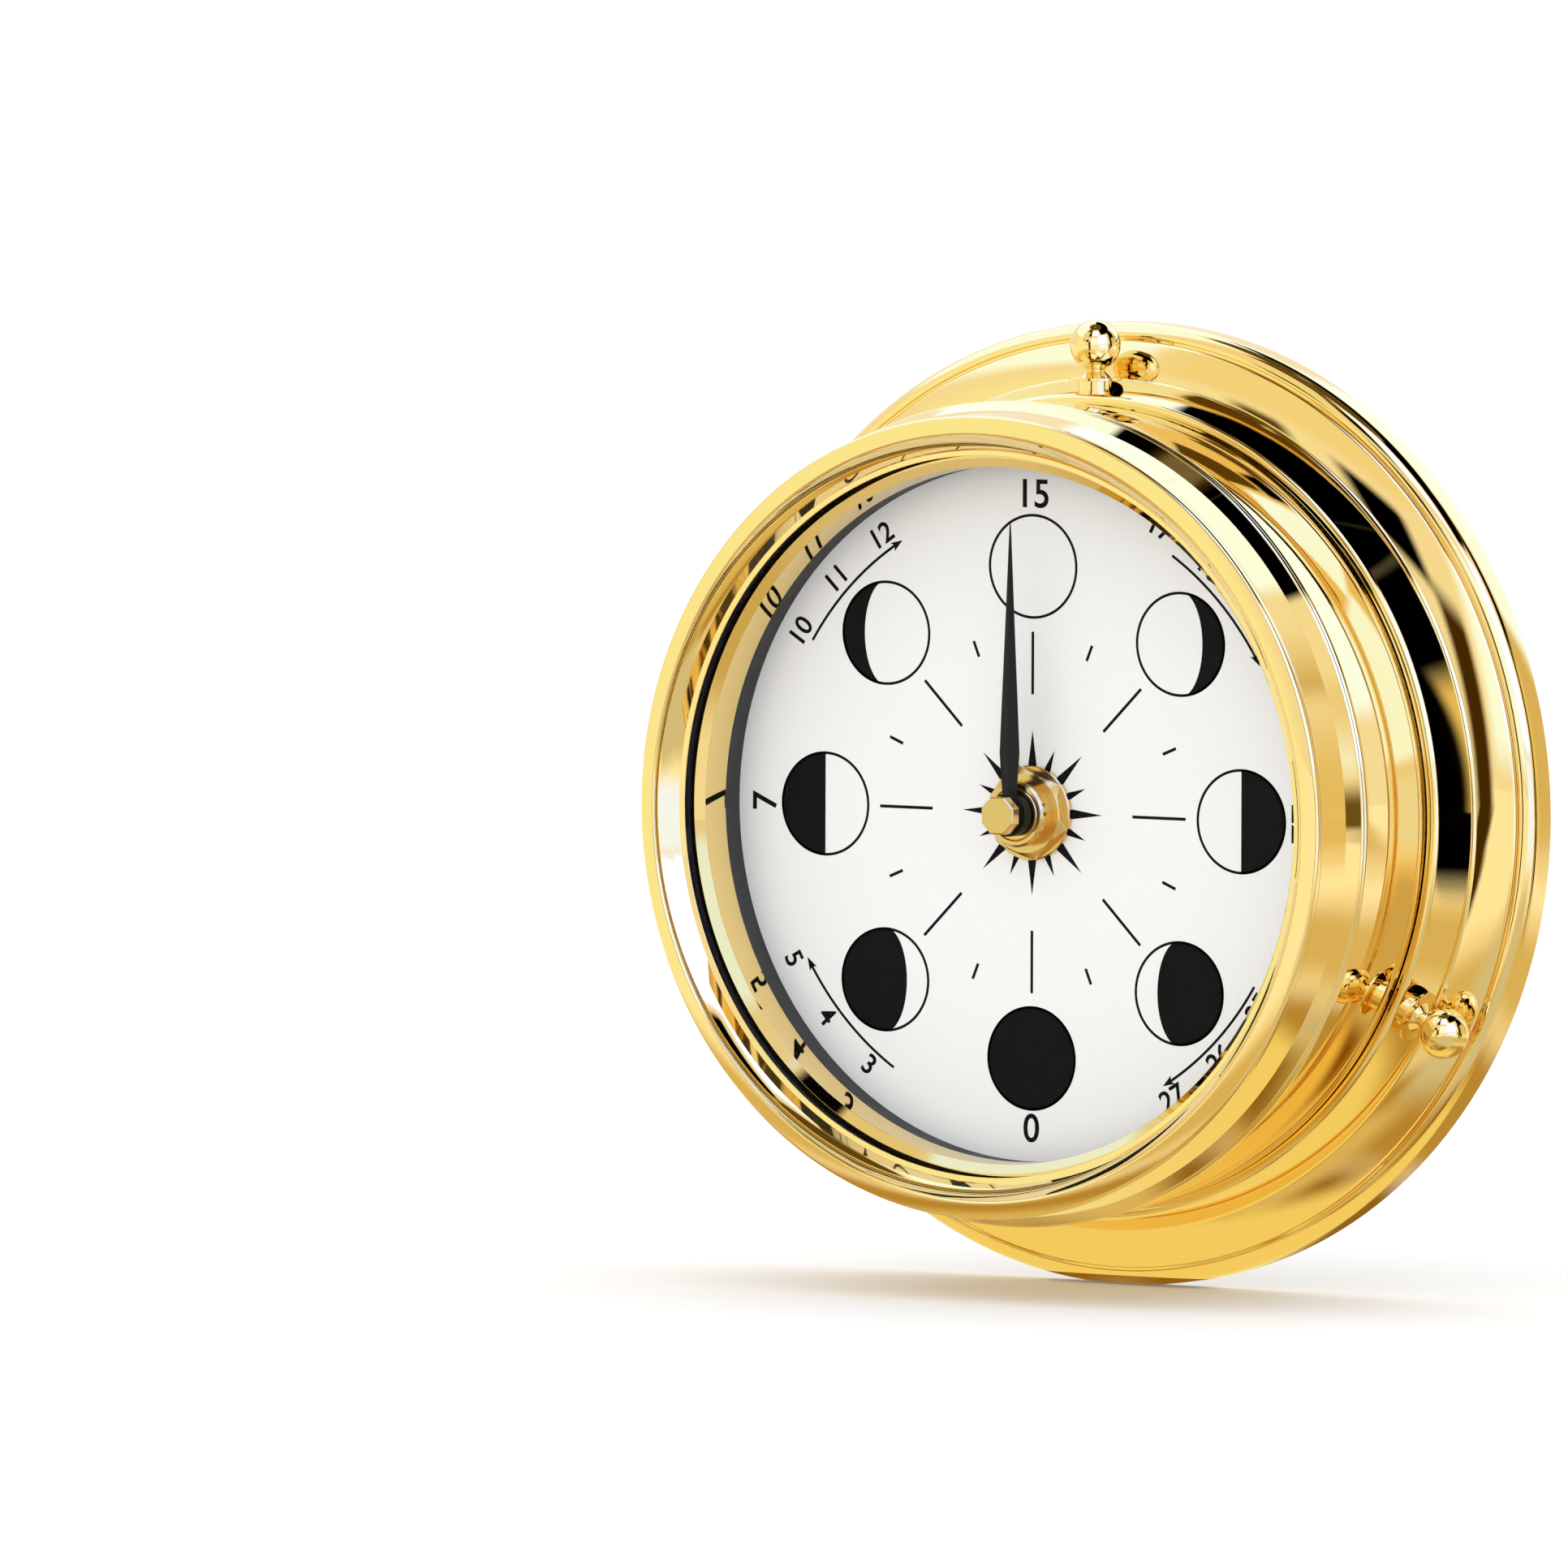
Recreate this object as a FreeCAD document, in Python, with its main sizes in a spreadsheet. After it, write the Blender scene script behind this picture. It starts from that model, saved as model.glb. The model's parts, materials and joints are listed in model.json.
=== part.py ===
import FreeCAD, Part
import math
import os

import Sketcher

# Moon phase clock in a round brass case: a base flange with a collar, a case drum held in the
# collar by three ball-headed screws, a screwed bezel with its glass, a dial with one hand, and
# a battery movement behind the dial.
#
# The part's frame has +Z up to 12 o'clock, +X towards 3 o'clock, and the dial facing -Y. The
# origin is the centre of the base's flat back. Every piece is drawn in a working frame of
# (across, up, forward), where forward is the distance in front of the back, and is then turned
# a quarter about X, which lays forward along -Y.

doc = FreeCAD.newDocument("moon_phase_clock")

# Driving sizes, in millimetres, degrees and counts.
SIZES = [
    # base flange
    ("flange_reach", 7.5),
    ("rim_back_chamfer", 0.4),
    ("rim_side_height", 3.2),
    ("rim_round", 2.0),
    ("face_groove_width", 0.4),
    ("face_groove_depth", 0.3),
    ("face_edge_step", 0.1),
    ("face_rise", 1.9),
    ("bead_step", 0.2),
    ("bead_round", 0.7),
    ("collar_wall", 2.92),
    ("collar_taper", 0.25),
    ("collar_round", 1.0),
    ("collar_front", 13.9),
    ("collar_mouth_chamfer", 0.5),
    ("floor_thickness", 2.0),
    ("floor_reach", 10.38),
    ("wall_hole_radius", 2.1),
    ("wall_hole_count", 3),
    ("wall_hole_first_angle", 30.0),
    # ball-headed screws and their washers
    ("screw_below_mouth", 2.4),
    ("screw_side_drop_angle", 27.0),
    ("screw_shank_radius", 1.5),
    ("screw_running_gap", 0.06),
    ("screw_tip_gap", 0.1),
    ("screw_tip_chamfer", 0.3),
    ("screw_washer_lift", 0.05),
    ("screw_washer_radius", 2.2),
    ("screw_washer_bore_gap", 0.1),
    ("screw_washer_thickness", 0.75),
    ("screw_foot_radius", 3.55),
    ("screw_foot_height", 0.35),
    ("screw_boss_radius", 2.1),
    ("screw_neck_radius", 1.25),
    ("screw_neck_height", 1.15),
    ("screw_ball_radius", 3.35),
    # case drum
    ("spigot_radius", 52.3),
    ("spigot_running_gap", 0.08),
    ("spigot_floor_gap", 0.05),
    ("spigot_chamfer", 0.4),
    ("drum_wall", 2.3),
    ("shoulder_gap", 0.2),
    ("shoulder_round", 0.45),
    ("band_bulge_radius", 140.0),
    ("band_flare", 1.8),
    ("band_front_round", 0.5),
    ("thread_step", 2.9),
    ("thread_length", 2.2),
    ("thread_chamfer", 0.2),
    ("thread_wall", 3.6),
    ("ledge_reach", 4.1),
    ("ledge_thickness", 2.1),
    # dial, spacer, inner ring, glass and gasket
    ("dial_front", 26.5),
    ("dial_thickness", 0.8),
    ("stack_gap", 0.2),
    ("spacer_height", 3.6),
    ("spacer_wall", 1.6),
    ("inner_ring_wall", 1.8),
    ("inner_ring_wall_height", 4.9),
    ("inner_ring_flare_height", 0.85),
    ("inner_ring_flare", 1.2),
    ("glass_seat_gap", 0.05),
    ("glass_inset", 0.6),
    ("glass_thickness", 1.5),
    ("glass_edge_chamfer", 0.15),
    ("gasket_thickness", 1.95),
    ("gasket_inset", 0.1),
    # bezel
    ("bezel_rear_gap", 0.05),
    ("bezel_thread_gap", 0.08),
    ("bezel_thread_depth", 2.6),
    ("bezel_glass_gap", 0.1),
    ("bezel_edge_inset", 0.2),
    ("bezel_edge_height", 0.1),
    ("bezel_flank_height", 2.15),
    ("bezel_flank_inset", 1.0),
    ("bezel_neck_inset", 0.6),
    ("bezel_line_width", 0.4),
    ("bezel_line_depth", 0.3),
    ("bezel_line_below_crest", 2.0),
    ("crest_overhang", 0.2),
    ("crest_outer_round", 0.5),
    ("crest_outer_drop", 0.5),
    ("crest_width", 2.5),
    ("crest_inner_round", 0.4),
    ("funnel_upper_width", 1.5),
    ("funnel_upper_height", 1.5),
    ("funnel_lower_width", 0.6),
    ("funnel_lower_height", 1.05),
    ("lip_slope_height", 0.15),
    ("lip_width", 0.7),
    ("lip_thickness", 0.2),
    # threaded bush through the dial, its washer, nut and collar
    ("bush_radius", 3.5),
    ("bush_bore_gap", 0.06),
    ("bush_flange_radius", 5.5),
    ("bush_flange_thickness", 1.0),
    ("bush_front_chamfer", 0.2),
    ("bush_above_dial", 4.4),
    ("nut_radius", 6.2),
    ("nut_side_height", 0.9),
    ("nut_top_radius", 5.2),
    ("nut_height", 2.0),
    ("bush_collar_radius", 4.35),
    ("bush_collar_height", 2.4),
    ("bush_collar_chamfer", 0.3),
    ("rubber_washer_radius", 8.0),
    ("rubber_washer_thickness", 0.5),
    ("seat_gap", 0.03),
    # hand, its arbor and cap nut
    ("arbor_radius", 1.5),
    ("arbor_stub_radius", 1.2),
    ("arbor_stub_length", 1.9),
    ("hand_hub_radius", 2.85),
    ("hand_hub_height", 1.5),
    ("hand_above_collar", 0.3),
    ("hand_thickness", 0.4),
    ("hand_blade_lift", 0.8),
    ("hand_length", 38.0),
    ("hand_root_half_width", 0.8),
    ("hand_belly_half_width", 1.5),
    ("hand_belly_distance", 8.0),
    ("hand_tip_half_width", 0.06),
    ("cap_neck_radius", 1.9),
    ("cap_neck_height", 0.7),
    ("cap_head_radius", 2.65),
    ("cap_head_height", 1.75),
    ("cap_head_chamfer", 0.2),
    ("cap_bore_margin", 0.1),
    ("cap_sides", 8),
    # movement housing and cover
    ("housing_corner", 3.0),
    ("housing_wall", 1.2),
    ("housing_front_wall", 1.5),
    ("cover_thickness", 1.5),
    ("cover_gap", 0.05),
    ("bay_corner", 1.0),
    ("pivot_radius", 0.5),
    ("pivot_gap", 0.05),
    ("pivot_depth", 0.8),
    ("pivot_end_gap", 0.1),
    # battery and its contacts
    ("battery_radius", 7.15),
    ("battery_length", 50.4),
    ("battery_edge", 0.3),
    ("battery_nub_radius", 2.75),
    ("battery_nub_height", 1.2),
    ("battery_side_gap", 0.25),
    ("battery_rear_gap", 0.15),
    ("battery_front_wall", 0.8),
    ("contact_thickness", 0.4),
    ("contact_width", 9.0),
    ("contact_height", 10.0),
    ("contact_spring_radius", 2.2),
    ("contact_spring_room", 2.75),
    ("contact_end_gap", 0.05),
    # gear train
    ("gear_module", 0.3),
    ("tooth_tip_share", 0.6),
    ("tooth_root_share", 0.9),
    ("tooth_tip_width_share", 0.09),
    ("tooth_root_width_share", 0.25),
    ("tooth_sink", 0.1),
    ("moon_teeth", 60),
    ("intermediate_pinion_teeth", 12),
    ("intermediate_teeth", 48),
    ("third_pinion_teeth", 16),
    ("third_teeth", 40),
    ("rotor_pinion_teeth", 10),
    ("stem_teeth", 20),
    ("intermediate_direction", 60.0),
    ("third_bend", 70.0),
    ("rotor_bend", -120.0),
    ("stem_direction", 165.0),
    ("wheel_thickness", 1.0),
    ("pinion_overhang", 0.2),
    ("moon_wheel_below_bush", 0.5),
    ("train_layer_gap", 1.0),
    ("wheel_hub_radius", 2.6),
    ("wheel_hub_height", 0.3),
    ("rotor_magnet_radius", 1.8),
    ("rotor_magnet_height", 1.6),
    # step motor: stator and coil
    ("stator_thickness", 0.8),
    ("stator_bore_radius", 2.3),
    ("stator_left_reach", 3.2),
    ("stator_right_reach", 3.6),
    ("stator_half_height", 7.0),
    ("stator_arm_width", 2.0),
    ("stator_right_room", 5.8),
    ("stator_post_radius", 0.9),
    ("stator_post_reach", 8.0),
    ("bobbin_core_radius", 1.7),
    ("bobbin_flange_radius", 3.6),
    ("bobbin_flange_thickness", 0.8),
    ("bobbin_bore_gap", 0.1),
    ("bobbin_end_gap", 0.1),
    ("winding_radius", 3.2),
    # circuit board and crystal
    ("board_left_gap", 0.3),
    ("board_width", 9.5),
    ("board_height", 30.0),
    ("board_thickness", 1.0),
    ("board_top_gap", 1.5),
    ("crystal_radius", 1.0),
    ("crystal_length", 6.0),
    ("crystal_board_gap", 0.05),
    ("crystal_inset", 3.0),
    # setting stem and knob
    ("stem_radius", 1.0),
    ("stem_end_behind_cover", 1.7),
    ("knob_radius", 5.5),
    ("knob_grip_depth", 0.3),
    ("knob_grip_width", 0.7),
    ("knob_grip_count", 24),
    ("knob_height", 3.5),
    ("knob_cover_gap", 0.3),
]

sheet = doc.addObject("Spreadsheet::Sheet", "Sizes")
VALUES = dict(SIZES)
for line, (alias, value) in enumerate(SIZES, start=1):
    sheet.set("A%d" % line, alias)
    sheet.set("B%d" % line, str(value))
    sheet.setAlias("B%d" % line, alias)
doc.recompute()


class Size:
    """A length as its number and as the sheet expression that keeps it."""

    def __init__(self, number, text):
        self.number = float(number)
        self.text = text

    def __add__(self, other):
        other = as_size(other)
        return Size(self.number + other.number, "(%s + %s)" % (self.text, other.text))

    def __sub__(self, other):
        other = as_size(other)
        return Size(self.number - other.number, "(%s - %s)" % (self.text, other.text))

    def __mul__(self, other):
        other = as_size(other)
        return Size(self.number * other.number, "(%s * %s)" % (self.text, other.text))

    def __truediv__(self, other):
        other = as_size(other)
        return Size(self.number / other.number, "(%s / %s)" % (self.text, other.text))

    def __neg__(self):
        return ZERO - self


def as_size(value):
    """Take a size, or a plain factor, as a size."""
    if isinstance(value, Size):
        return value
    return Size(value, "%.9g" % value)


def size(alias):
    """The driving size of that name."""
    return Size(VALUES[alias], "Sizes." + alias)


ZERO = Size(0, "0")
QUARTER_TURN = FreeCAD.Rotation(FreeCAD.Vector(1, 0, 0), 90)


def line(across, forward):
    """Outline step: a straight line to this point."""
    return ("line", as_size(across), as_size(forward), None, 0)


def curve(across, forward, radius, side):
    """Outline step: an arc to this point, its centre to the left (1) or right (-1) of the way."""
    return ("curve", as_size(across), as_size(forward), as_size(radius), side)


def new_body(name):
    body = doc.addObject("PartDesign::Body", name)
    body.Label = name
    return body


def new_sketch(body, name, plane, offset=ZERO):
    """A sketch on one of the body's origin planes, lifted off it by offset."""
    sketch = body.newObject("Sketcher::SketchObject", name)
    support = [item for item in body.Origin.OriginFeatures if item.Role == plane][0]
    sketch.AttachmentSupport = [(support, "")]
    sketch.MapMode = "FlatFace"
    if offset.number:
        sketch.setExpression("AttachmentOffset.Base.z", offset.text)
    return sketch


def pin_point(sketch, geometry, end, across, up):
    """Tie one end of a curve to its place from the origin."""
    for kind, axis, place in (("DistanceX", -2, across), ("DistanceY", -1, up)):
        if place.text == "0":
            sketch.addConstraint(Sketcher.Constraint("PointOnObject", geometry, end, axis))
        else:
            index = sketch.addConstraint(Sketcher.Constraint(kind, -1, 1, geometry, end, place.number))
            sketch.setExpression("Constraints[%d]" % index, place.text)


def draw_outline(sketch, steps):
    """Draw a closed outline of lines and arcs, every corner and radius tied to the sheet."""
    corners = [FreeCAD.Vector(step[1].number, step[2].number, 0) for step in steps]
    ends = []
    for number, (kind, across, up, radius, side) in enumerate(steps):
        start = corners[number - 1]
        stop = corners[number]
        if kind == "line":
            index = sketch.addGeometry(Part.LineSegment(start, stop), False)
            ends.append((index, 1, 2))
            continue
        chord = stop - start
        left = FreeCAD.Vector(-chord.y, chord.x, 0)
        left.normalize()
        reach = math.sqrt(max(radius.number ** 2 - (chord.Length / 2) ** 2, 0.0))
        centre = start + chord * 0.5 + left * (reach * side)
        first, last = (start, stop) if side > 0 else (stop, start)
        first_angle = math.atan2(first.y - centre.y, first.x - centre.x)
        last_angle = math.atan2(last.y - centre.y, last.x - centre.x)
        if last_angle < first_angle:
            last_angle += 2 * math.pi
        circle = Part.Circle(centre, FreeCAD.Vector(0, 0, 1), radius.number)
        index = sketch.addGeometry(Part.ArcOfCircle(circle, first_angle, last_angle), False)
        ends.append((index, 1, 2) if side > 0 else (index, 2, 1))
    for number, (index, start_end, stop_end) in enumerate(ends):
        before = ends[number - 1]
        sketch.addConstraint(Sketcher.Constraint("Coincident", before[0], before[2], index, start_end))
    for number, (kind, across, up, radius, side) in enumerate(steps):
        pin_point(sketch, ends[number][0], ends[number][2], across, up)
        if kind == "curve":
            bend = sketch.addConstraint(Sketcher.Constraint("Radius", ends[number][0], radius.number))
            sketch.setExpression("Constraints[%d]" % bend, radius.text)


def draw_circle(sketch, across, up, radius):
    centre = FreeCAD.Vector(across.number, up.number, 0)
    index = sketch.addGeometry(Part.Circle(centre, FreeCAD.Vector(0, 0, 1), radius.number), False)
    pin_point(sketch, index, 3, across, up)
    bend = sketch.addConstraint(Sketcher.Constraint("Radius", index, radius.number))
    sketch.setExpression("Constraints[%d]" % bend, radius.text)


def rectangle(left, right, low, high):
    return [line(right, low), line(right, high), line(left, high), line(left, low)]


def rounded_rectangle(left, right, low, high, corner):
    return [
        line(right - corner, low),
        curve(right, low + corner, corner, 1),
        line(right, high - corner),
        curve(right - corner, high, corner, 1),
        line(left + corner, high),
        curve(left, high - corner, corner, 1),
        line(left, low + corner),
        curve(left + corner, low, corner, 1),
    ]


def add_revolution(body, steps):
    """Turn an outline of (radius, forward) points about the body's forward axis."""
    sketch = new_sketch(body, body.Name + "_outline", "XZ_Plane")
    draw_outline(sketch, steps)
    spin = body.newObject("PartDesign::Revolution", body.Name + "_turned")
    spin.Profile = sketch
    spin.ReferenceAxis = (sketch, ["V_Axis"])
    spin.Angle = 360
    body.Tip = spin
    return spin


def add_pad(body, name, low, height, steps=None, circle=None):
    """Raise an outline, or a circle of (across, up, radius), forward from low."""
    sketch = new_sketch(body, name + "_sketch", "XY_Plane", low)
    if steps:
        draw_outline(sketch, steps)
    else:
        draw_circle(sketch, *circle)
    pad = body.newObject("PartDesign::Pad", name)
    pad.Profile = sketch
    pad.setExpression("Length", height.text)
    body.Tip = pad
    return pad


def add_pocket(body, name, low, depth, steps=None, circle=None):
    """Cut an outline or a circle forward from low, and make sure that it cuts."""
    doc.recompute()
    before = body.Shape.Volume
    sketch = new_sketch(body, name + "_sketch", "XY_Plane", low)
    if steps:
        draw_outline(sketch, steps)
    else:
        draw_circle(sketch, *circle)
    pocket = body.newObject("PartDesign::Pocket", name)
    pocket.Profile = sketch
    pocket.Reversed = True
    pocket.setExpression("Length", depth.text)
    body.Tip = pocket
    doc.recompute()
    if body.Shape.Volume >= before:
        raise RuntimeError(name + " cuts nothing")
    return pocket


def add_pattern(body, feature, count, sketch):
    """Repeat a feature round the body's forward axis."""
    doc.recompute()
    pattern = body.newObject("PartDesign::PolarPattern", feature.Name + "_round")
    pattern.Originals = [feature]
    pattern.Axis = (sketch, ["N_Axis"])
    pattern.Angle = 360
    pattern.setExpression("Occurrences", count.text)
    body.Tip = pattern
    return pattern


def locate(item, across=ZERO, up=ZERO, forward=ZERO, turn=0.0):
    """Set a piece from its working frame into the part's frame, turned about its own axis."""
    spin = FreeCAD.Rotation(FreeCAD.Vector(0, 0, 1), turn)
    base = FreeCAD.Vector(across.number, -forward.number, up.number)
    item.Placement = FreeCAD.Placement(base, QUARTER_TURN.multiply(spin))
    item.setExpression("Placement.Base.x", across.text)
    item.setExpression("Placement.Base.y", (-forward).text)
    item.setExpression("Placement.Base.z", up.text)
    return item


def turned(name, steps, across=ZERO, up=ZERO):
    body = new_body(name)
    add_revolution(body, steps)
    return locate(body, across, up)


def ring(name, inner, outer, low, high):
    return turned(name, [line(outer, low), line(outer, high), line(inner, high), line(inner, low)])


def cylinder(name, radius, height):
    item = doc.addObject("Part::Cylinder", name)
    item.setExpression("Radius", radius.text)
    item.setExpression("Height", height.text)
    return item


def block(name, left, low, rear, width, height, depth):
    """A box by its lowest corner and its sizes across, up and forward."""
    item = doc.addObject("Part::Box", name)
    item.setExpression("Length", width.text)
    item.setExpression("Width", height.text)
    item.setExpression("Height", depth.text)
    return locate(item, left, low, rear)


def aim_radially(item, angle, forward):
    """Lay a piece's own axis along the radius at this angle, at this distance forward."""
    radians = math.radians(angle)
    outward = FreeCAD.Vector(math.cos(radians), 0, math.sin(radians))
    turn = FreeCAD.Rotation(FreeCAD.Vector(0, 0, 1), outward)
    item.Placement = FreeCAD.Placement(FreeCAD.Vector(0, -forward.number, 0), turn)
    item.setExpression("Placement.Base.y", (-forward).text)
    return item


NODES = []


def keep(item, name):
    """Count a finished piece as one of the part's nodes."""
    item.Label = name
    NODES.append(item)
    return item


# Radii that follow from the driving sizes, from the case's spigot outwards and inwards.
collar_bore_radius = size("spigot_radius") + size("spigot_running_gap")
collar_radius = collar_bore_radius + size("collar_wall")
collar_top_radius = collar_radius - size("collar_taper")
bead_outer_radius = collar_radius + size("bead_round")
rim_radius = bead_outer_radius + size("flange_reach")
groove_outer = rim_radius - size("rim_round")
groove_inner = groove_outer - size("face_groove_width")
floor_bore_radius = collar_bore_radius - size("floor_reach")
wall_hole_circle_radius = (floor_bore_radius + collar_bore_radius) / 2
drum_bore_radius = size("spigot_radius") - size("drum_wall")
band_rear_radius = size("spigot_radius") + size("shoulder_round")
band_front_radius = size("spigot_radius") + size("band_flare")
thread_radius = band_front_radius - size("thread_step")
well_radius = thread_radius - size("thread_wall")
ledge_bore_radius = well_radius - size("ledge_reach")
stack_radius = well_radius - size("stack_gap")
glass_radius = thread_radius - size("glass_inset")
bezel_edge_radius = band_front_radius - size("bezel_edge_inset")
bezel_waist_radius = bezel_edge_radius - size("bezel_flank_inset")
bezel_neck_radius = bezel_waist_radius - size("bezel_neck_inset")
crest_outer_radius = bezel_neck_radius + size("crest_overhang")
crest_inner_radius = crest_outer_radius - size("crest_width")
funnel_upper_radius = crest_inner_radius - size("funnel_upper_width")
funnel_lower_radius = funnel_upper_radius - size("funnel_lower_width")
lip_radius = funnel_lower_radius - size("lip_width")

# Distances in front of the back that follow from the driving sizes.
rim_top = size("rim_side_height") + size("rim_round")
groove_floor = rim_top - size("face_groove_depth")
face_low = rim_top + size("face_edge_step")
face_high = face_low + size("face_rise")
bead_low = face_high + size("bead_step")
collar_low = bead_low + size("bead_round")
screw_forward = size("collar_front") - size("screw_below_mouth")
spigot_rear = size("floor_thickness") + size("spigot_floor_gap")
shoulder = size("collar_front") + size("shoulder_gap")
band_rear = shoulder + size("shoulder_round")
dial_rear = size("dial_front") - size("dial_thickness")
ledge_rear = dial_rear - size("ledge_thickness")
spacer_front = size("dial_front") + size("spacer_height")
inner_ring_front = spacer_front + size("inner_ring_wall_height") + size("inner_ring_flare_height")
glass_rear = inner_ring_front + size("glass_seat_gap")
glass_front = glass_rear + size("glass_thickness")
gasket_rear = glass_rear - size("gasket_thickness")
thread_front = gasket_rear - size("glass_seat_gap")
band_front = thread_front - size("thread_length")

bush_front = size("dial_front") + size("bush_above_dial")
hub_rear = bush_front + size("hand_above_collar")
hub_front = hub_rear + size("hand_hub_height")
stub_front = hub_front + size("arbor_stub_length")
bush_bore_radius = size("arbor_radius") + size("bush_bore_gap")

# The battery and its contacts set the housing's width and depth.
bay_width = (size("battery_length") + size("contact_spring_room")
             + size("contact_thickness") + size("contact_end_gap"))
bay_half = bay_width / 2
half_width = bay_half + size("housing_wall")
housing_depth = (size("battery_front_wall") + size("battery_side_gap")
                 + size("battery_radius") * 2 + size("battery_rear_gap"))
housing_front = dial_rear - size("rubber_washer_thickness")
housing_rear = housing_front - housing_depth
housing_inner_front = housing_front - size("housing_front_wall")
cover_front = housing_rear + size("cover_thickness")
bush_flange_rear = housing_inner_front - size("bush_flange_thickness")


# Base flange: a lathe-turned ring with a rounded rim, a sloping face, a beaded collar that
# holds the case, a floor with wall screw holes, and radial threads for the ball screws.
def base_flange():
    body = new_body("base_ring")
    add_revolution(body, [
        line(rim_radius - size("rim_back_chamfer"), ZERO),
        line(rim_radius, size("rim_back_chamfer")),
        line(rim_radius, size("rim_side_height")),
        curve(groove_outer, rim_top, size("rim_round"), 1),
        line(groove_outer, groove_floor),
        line(groove_inner, groove_floor),
        line(groove_inner, face_low),
        line(bead_outer_radius, face_high),
        line(bead_outer_radius, bead_low),
        curve(collar_radius, collar_low, size("bead_round"), 1),
        line(collar_top_radius, size("collar_front") - size("collar_round")),
        curve(collar_top_radius - size("collar_round"), size("collar_front"), size("collar_round"), 1),
        line(collar_bore_radius + size("collar_mouth_chamfer"), size("collar_front")),
        line(collar_bore_radius, size("collar_front") - size("collar_mouth_chamfer")),
        line(collar_bore_radius, size("floor_thickness")),
        line(floor_bore_radius, size("floor_thickness")),
        line(floor_bore_radius, ZERO),
    ])
    first = math.radians(VALUES["wall_hole_first_angle"])
    hole = add_pocket(body, "wall_hole", ZERO, size("floor_thickness"),
                      circle=(wall_hole_circle_radius * math.cos(first),
                              wall_hole_circle_radius * math.sin(first), size("wall_hole_radius")))
    add_pattern(body, hole, size("wall_hole_count"), hole.Profile[0])
    locate(body)
    drills = []
    for place, angle in SCREW_ANGLES.items():
        drill = cylinder("screw_drill_" + place, size("screw_shank_radius") + size("screw_running_gap"),
                         rim_radius)
        drills.append(aim_radially(drill, angle, screw_forward))
    tools = doc.addObject("Part::MultiFuse", "screw_drills")
    tools.Shapes = drills
    flange = doc.addObject("Part::Cut", "base_flange")
    flange.Base = body
    flange.Tool = tools
    keep(flange, "base_flange")


# Three ball-headed screws clamp the case in the collar: one at the top, and one low on each side.
SCREW_ANGLES = {
    "top": 90.0,
    "right": -VALUES["screw_side_drop_angle"],
    "left": 180.0 + VALUES["screw_side_drop_angle"],
}


def ball_screws():
    shank = size("screw_shank_radius")
    tip = size("spigot_radius") + size("screw_tip_gap")
    washer_low = collar_radius + size("screw_washer_lift")
    foot = washer_low + size("screw_washer_thickness")
    neck = foot + size("screw_foot_height")
    ball = size("screw_ball_radius")
    neck_top = neck + size("screw_neck_height")
    neck_radius = size("screw_neck_radius")
    ball_sink = math.sqrt(ball.number ** 2 - neck_radius.number ** 2) / ball.number
    ball_top = neck_top + ball * ball_sink + ball
    for place, angle in SCREW_ANGLES.items():
        washer = new_body("screw_washer_" + place)
        bore = shank + size("screw_washer_bore_gap")
        add_revolution(washer, [line(size("screw_washer_radius"), washer_low),
                                line(size("screw_washer_radius"), foot),
                                line(bore, foot),
                                line(bore, washer_low)])
        aim_radially(washer, angle, screw_forward)
        keep(washer, "screw_washer_" + place)

        screw = new_body("ball_screw_" + place)
        add_revolution(screw, [
            line(shank - size("screw_tip_chamfer"), tip),
            line(shank, tip + size("screw_tip_chamfer")),
            line(shank, foot),
            line(size("screw_foot_radius"), foot),
            line(size("screw_foot_radius"), neck),
            line(size("screw_boss_radius"), neck),
            line(neck_radius, neck + (size("screw_boss_radius") - neck_radius)),
            line(neck_radius, neck_top),
            curve(ZERO, ball_top, ball, 1),
            line(ZERO, tip),
        ])
        aim_radially(screw, angle, screw_forward)
        keep(screw, "ball_screw_" + place)


# Case drum: a rear spigot that slides into the collar, a wide bulging band, a threaded front
# spigot for the bezel, and a ledge inside that carries the dial.
def case_drum():
    keep(turned("case_drum", [
        line(size("spigot_radius") - size("spigot_chamfer"), spigot_rear),
        line(size("spigot_radius"), spigot_rear + size("spigot_chamfer")),
        line(size("spigot_radius"), shoulder),
        curve(band_rear_radius, band_rear, size("shoulder_round"), 1),
        curve(band_front_radius, band_front - size("band_front_round"),
              size("band_bulge_radius"), 1),
        curve(band_front_radius - size("band_front_round"), band_front,
              size("band_front_round"), 1),
        line(thread_radius, band_front),
        line(thread_radius, thread_front - size("thread_chamfer")),
        line(thread_radius - size("thread_chamfer"), thread_front),
        line(well_radius, thread_front),
        line(well_radius, dial_rear),
        line(ledge_bore_radius, dial_rear),
        line(ledge_bore_radius, ledge_rear),
        line(drum_bore_radius, ledge_rear),
        line(drum_bore_radius, spigot_rear),
    ]), "case_drum")


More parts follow.
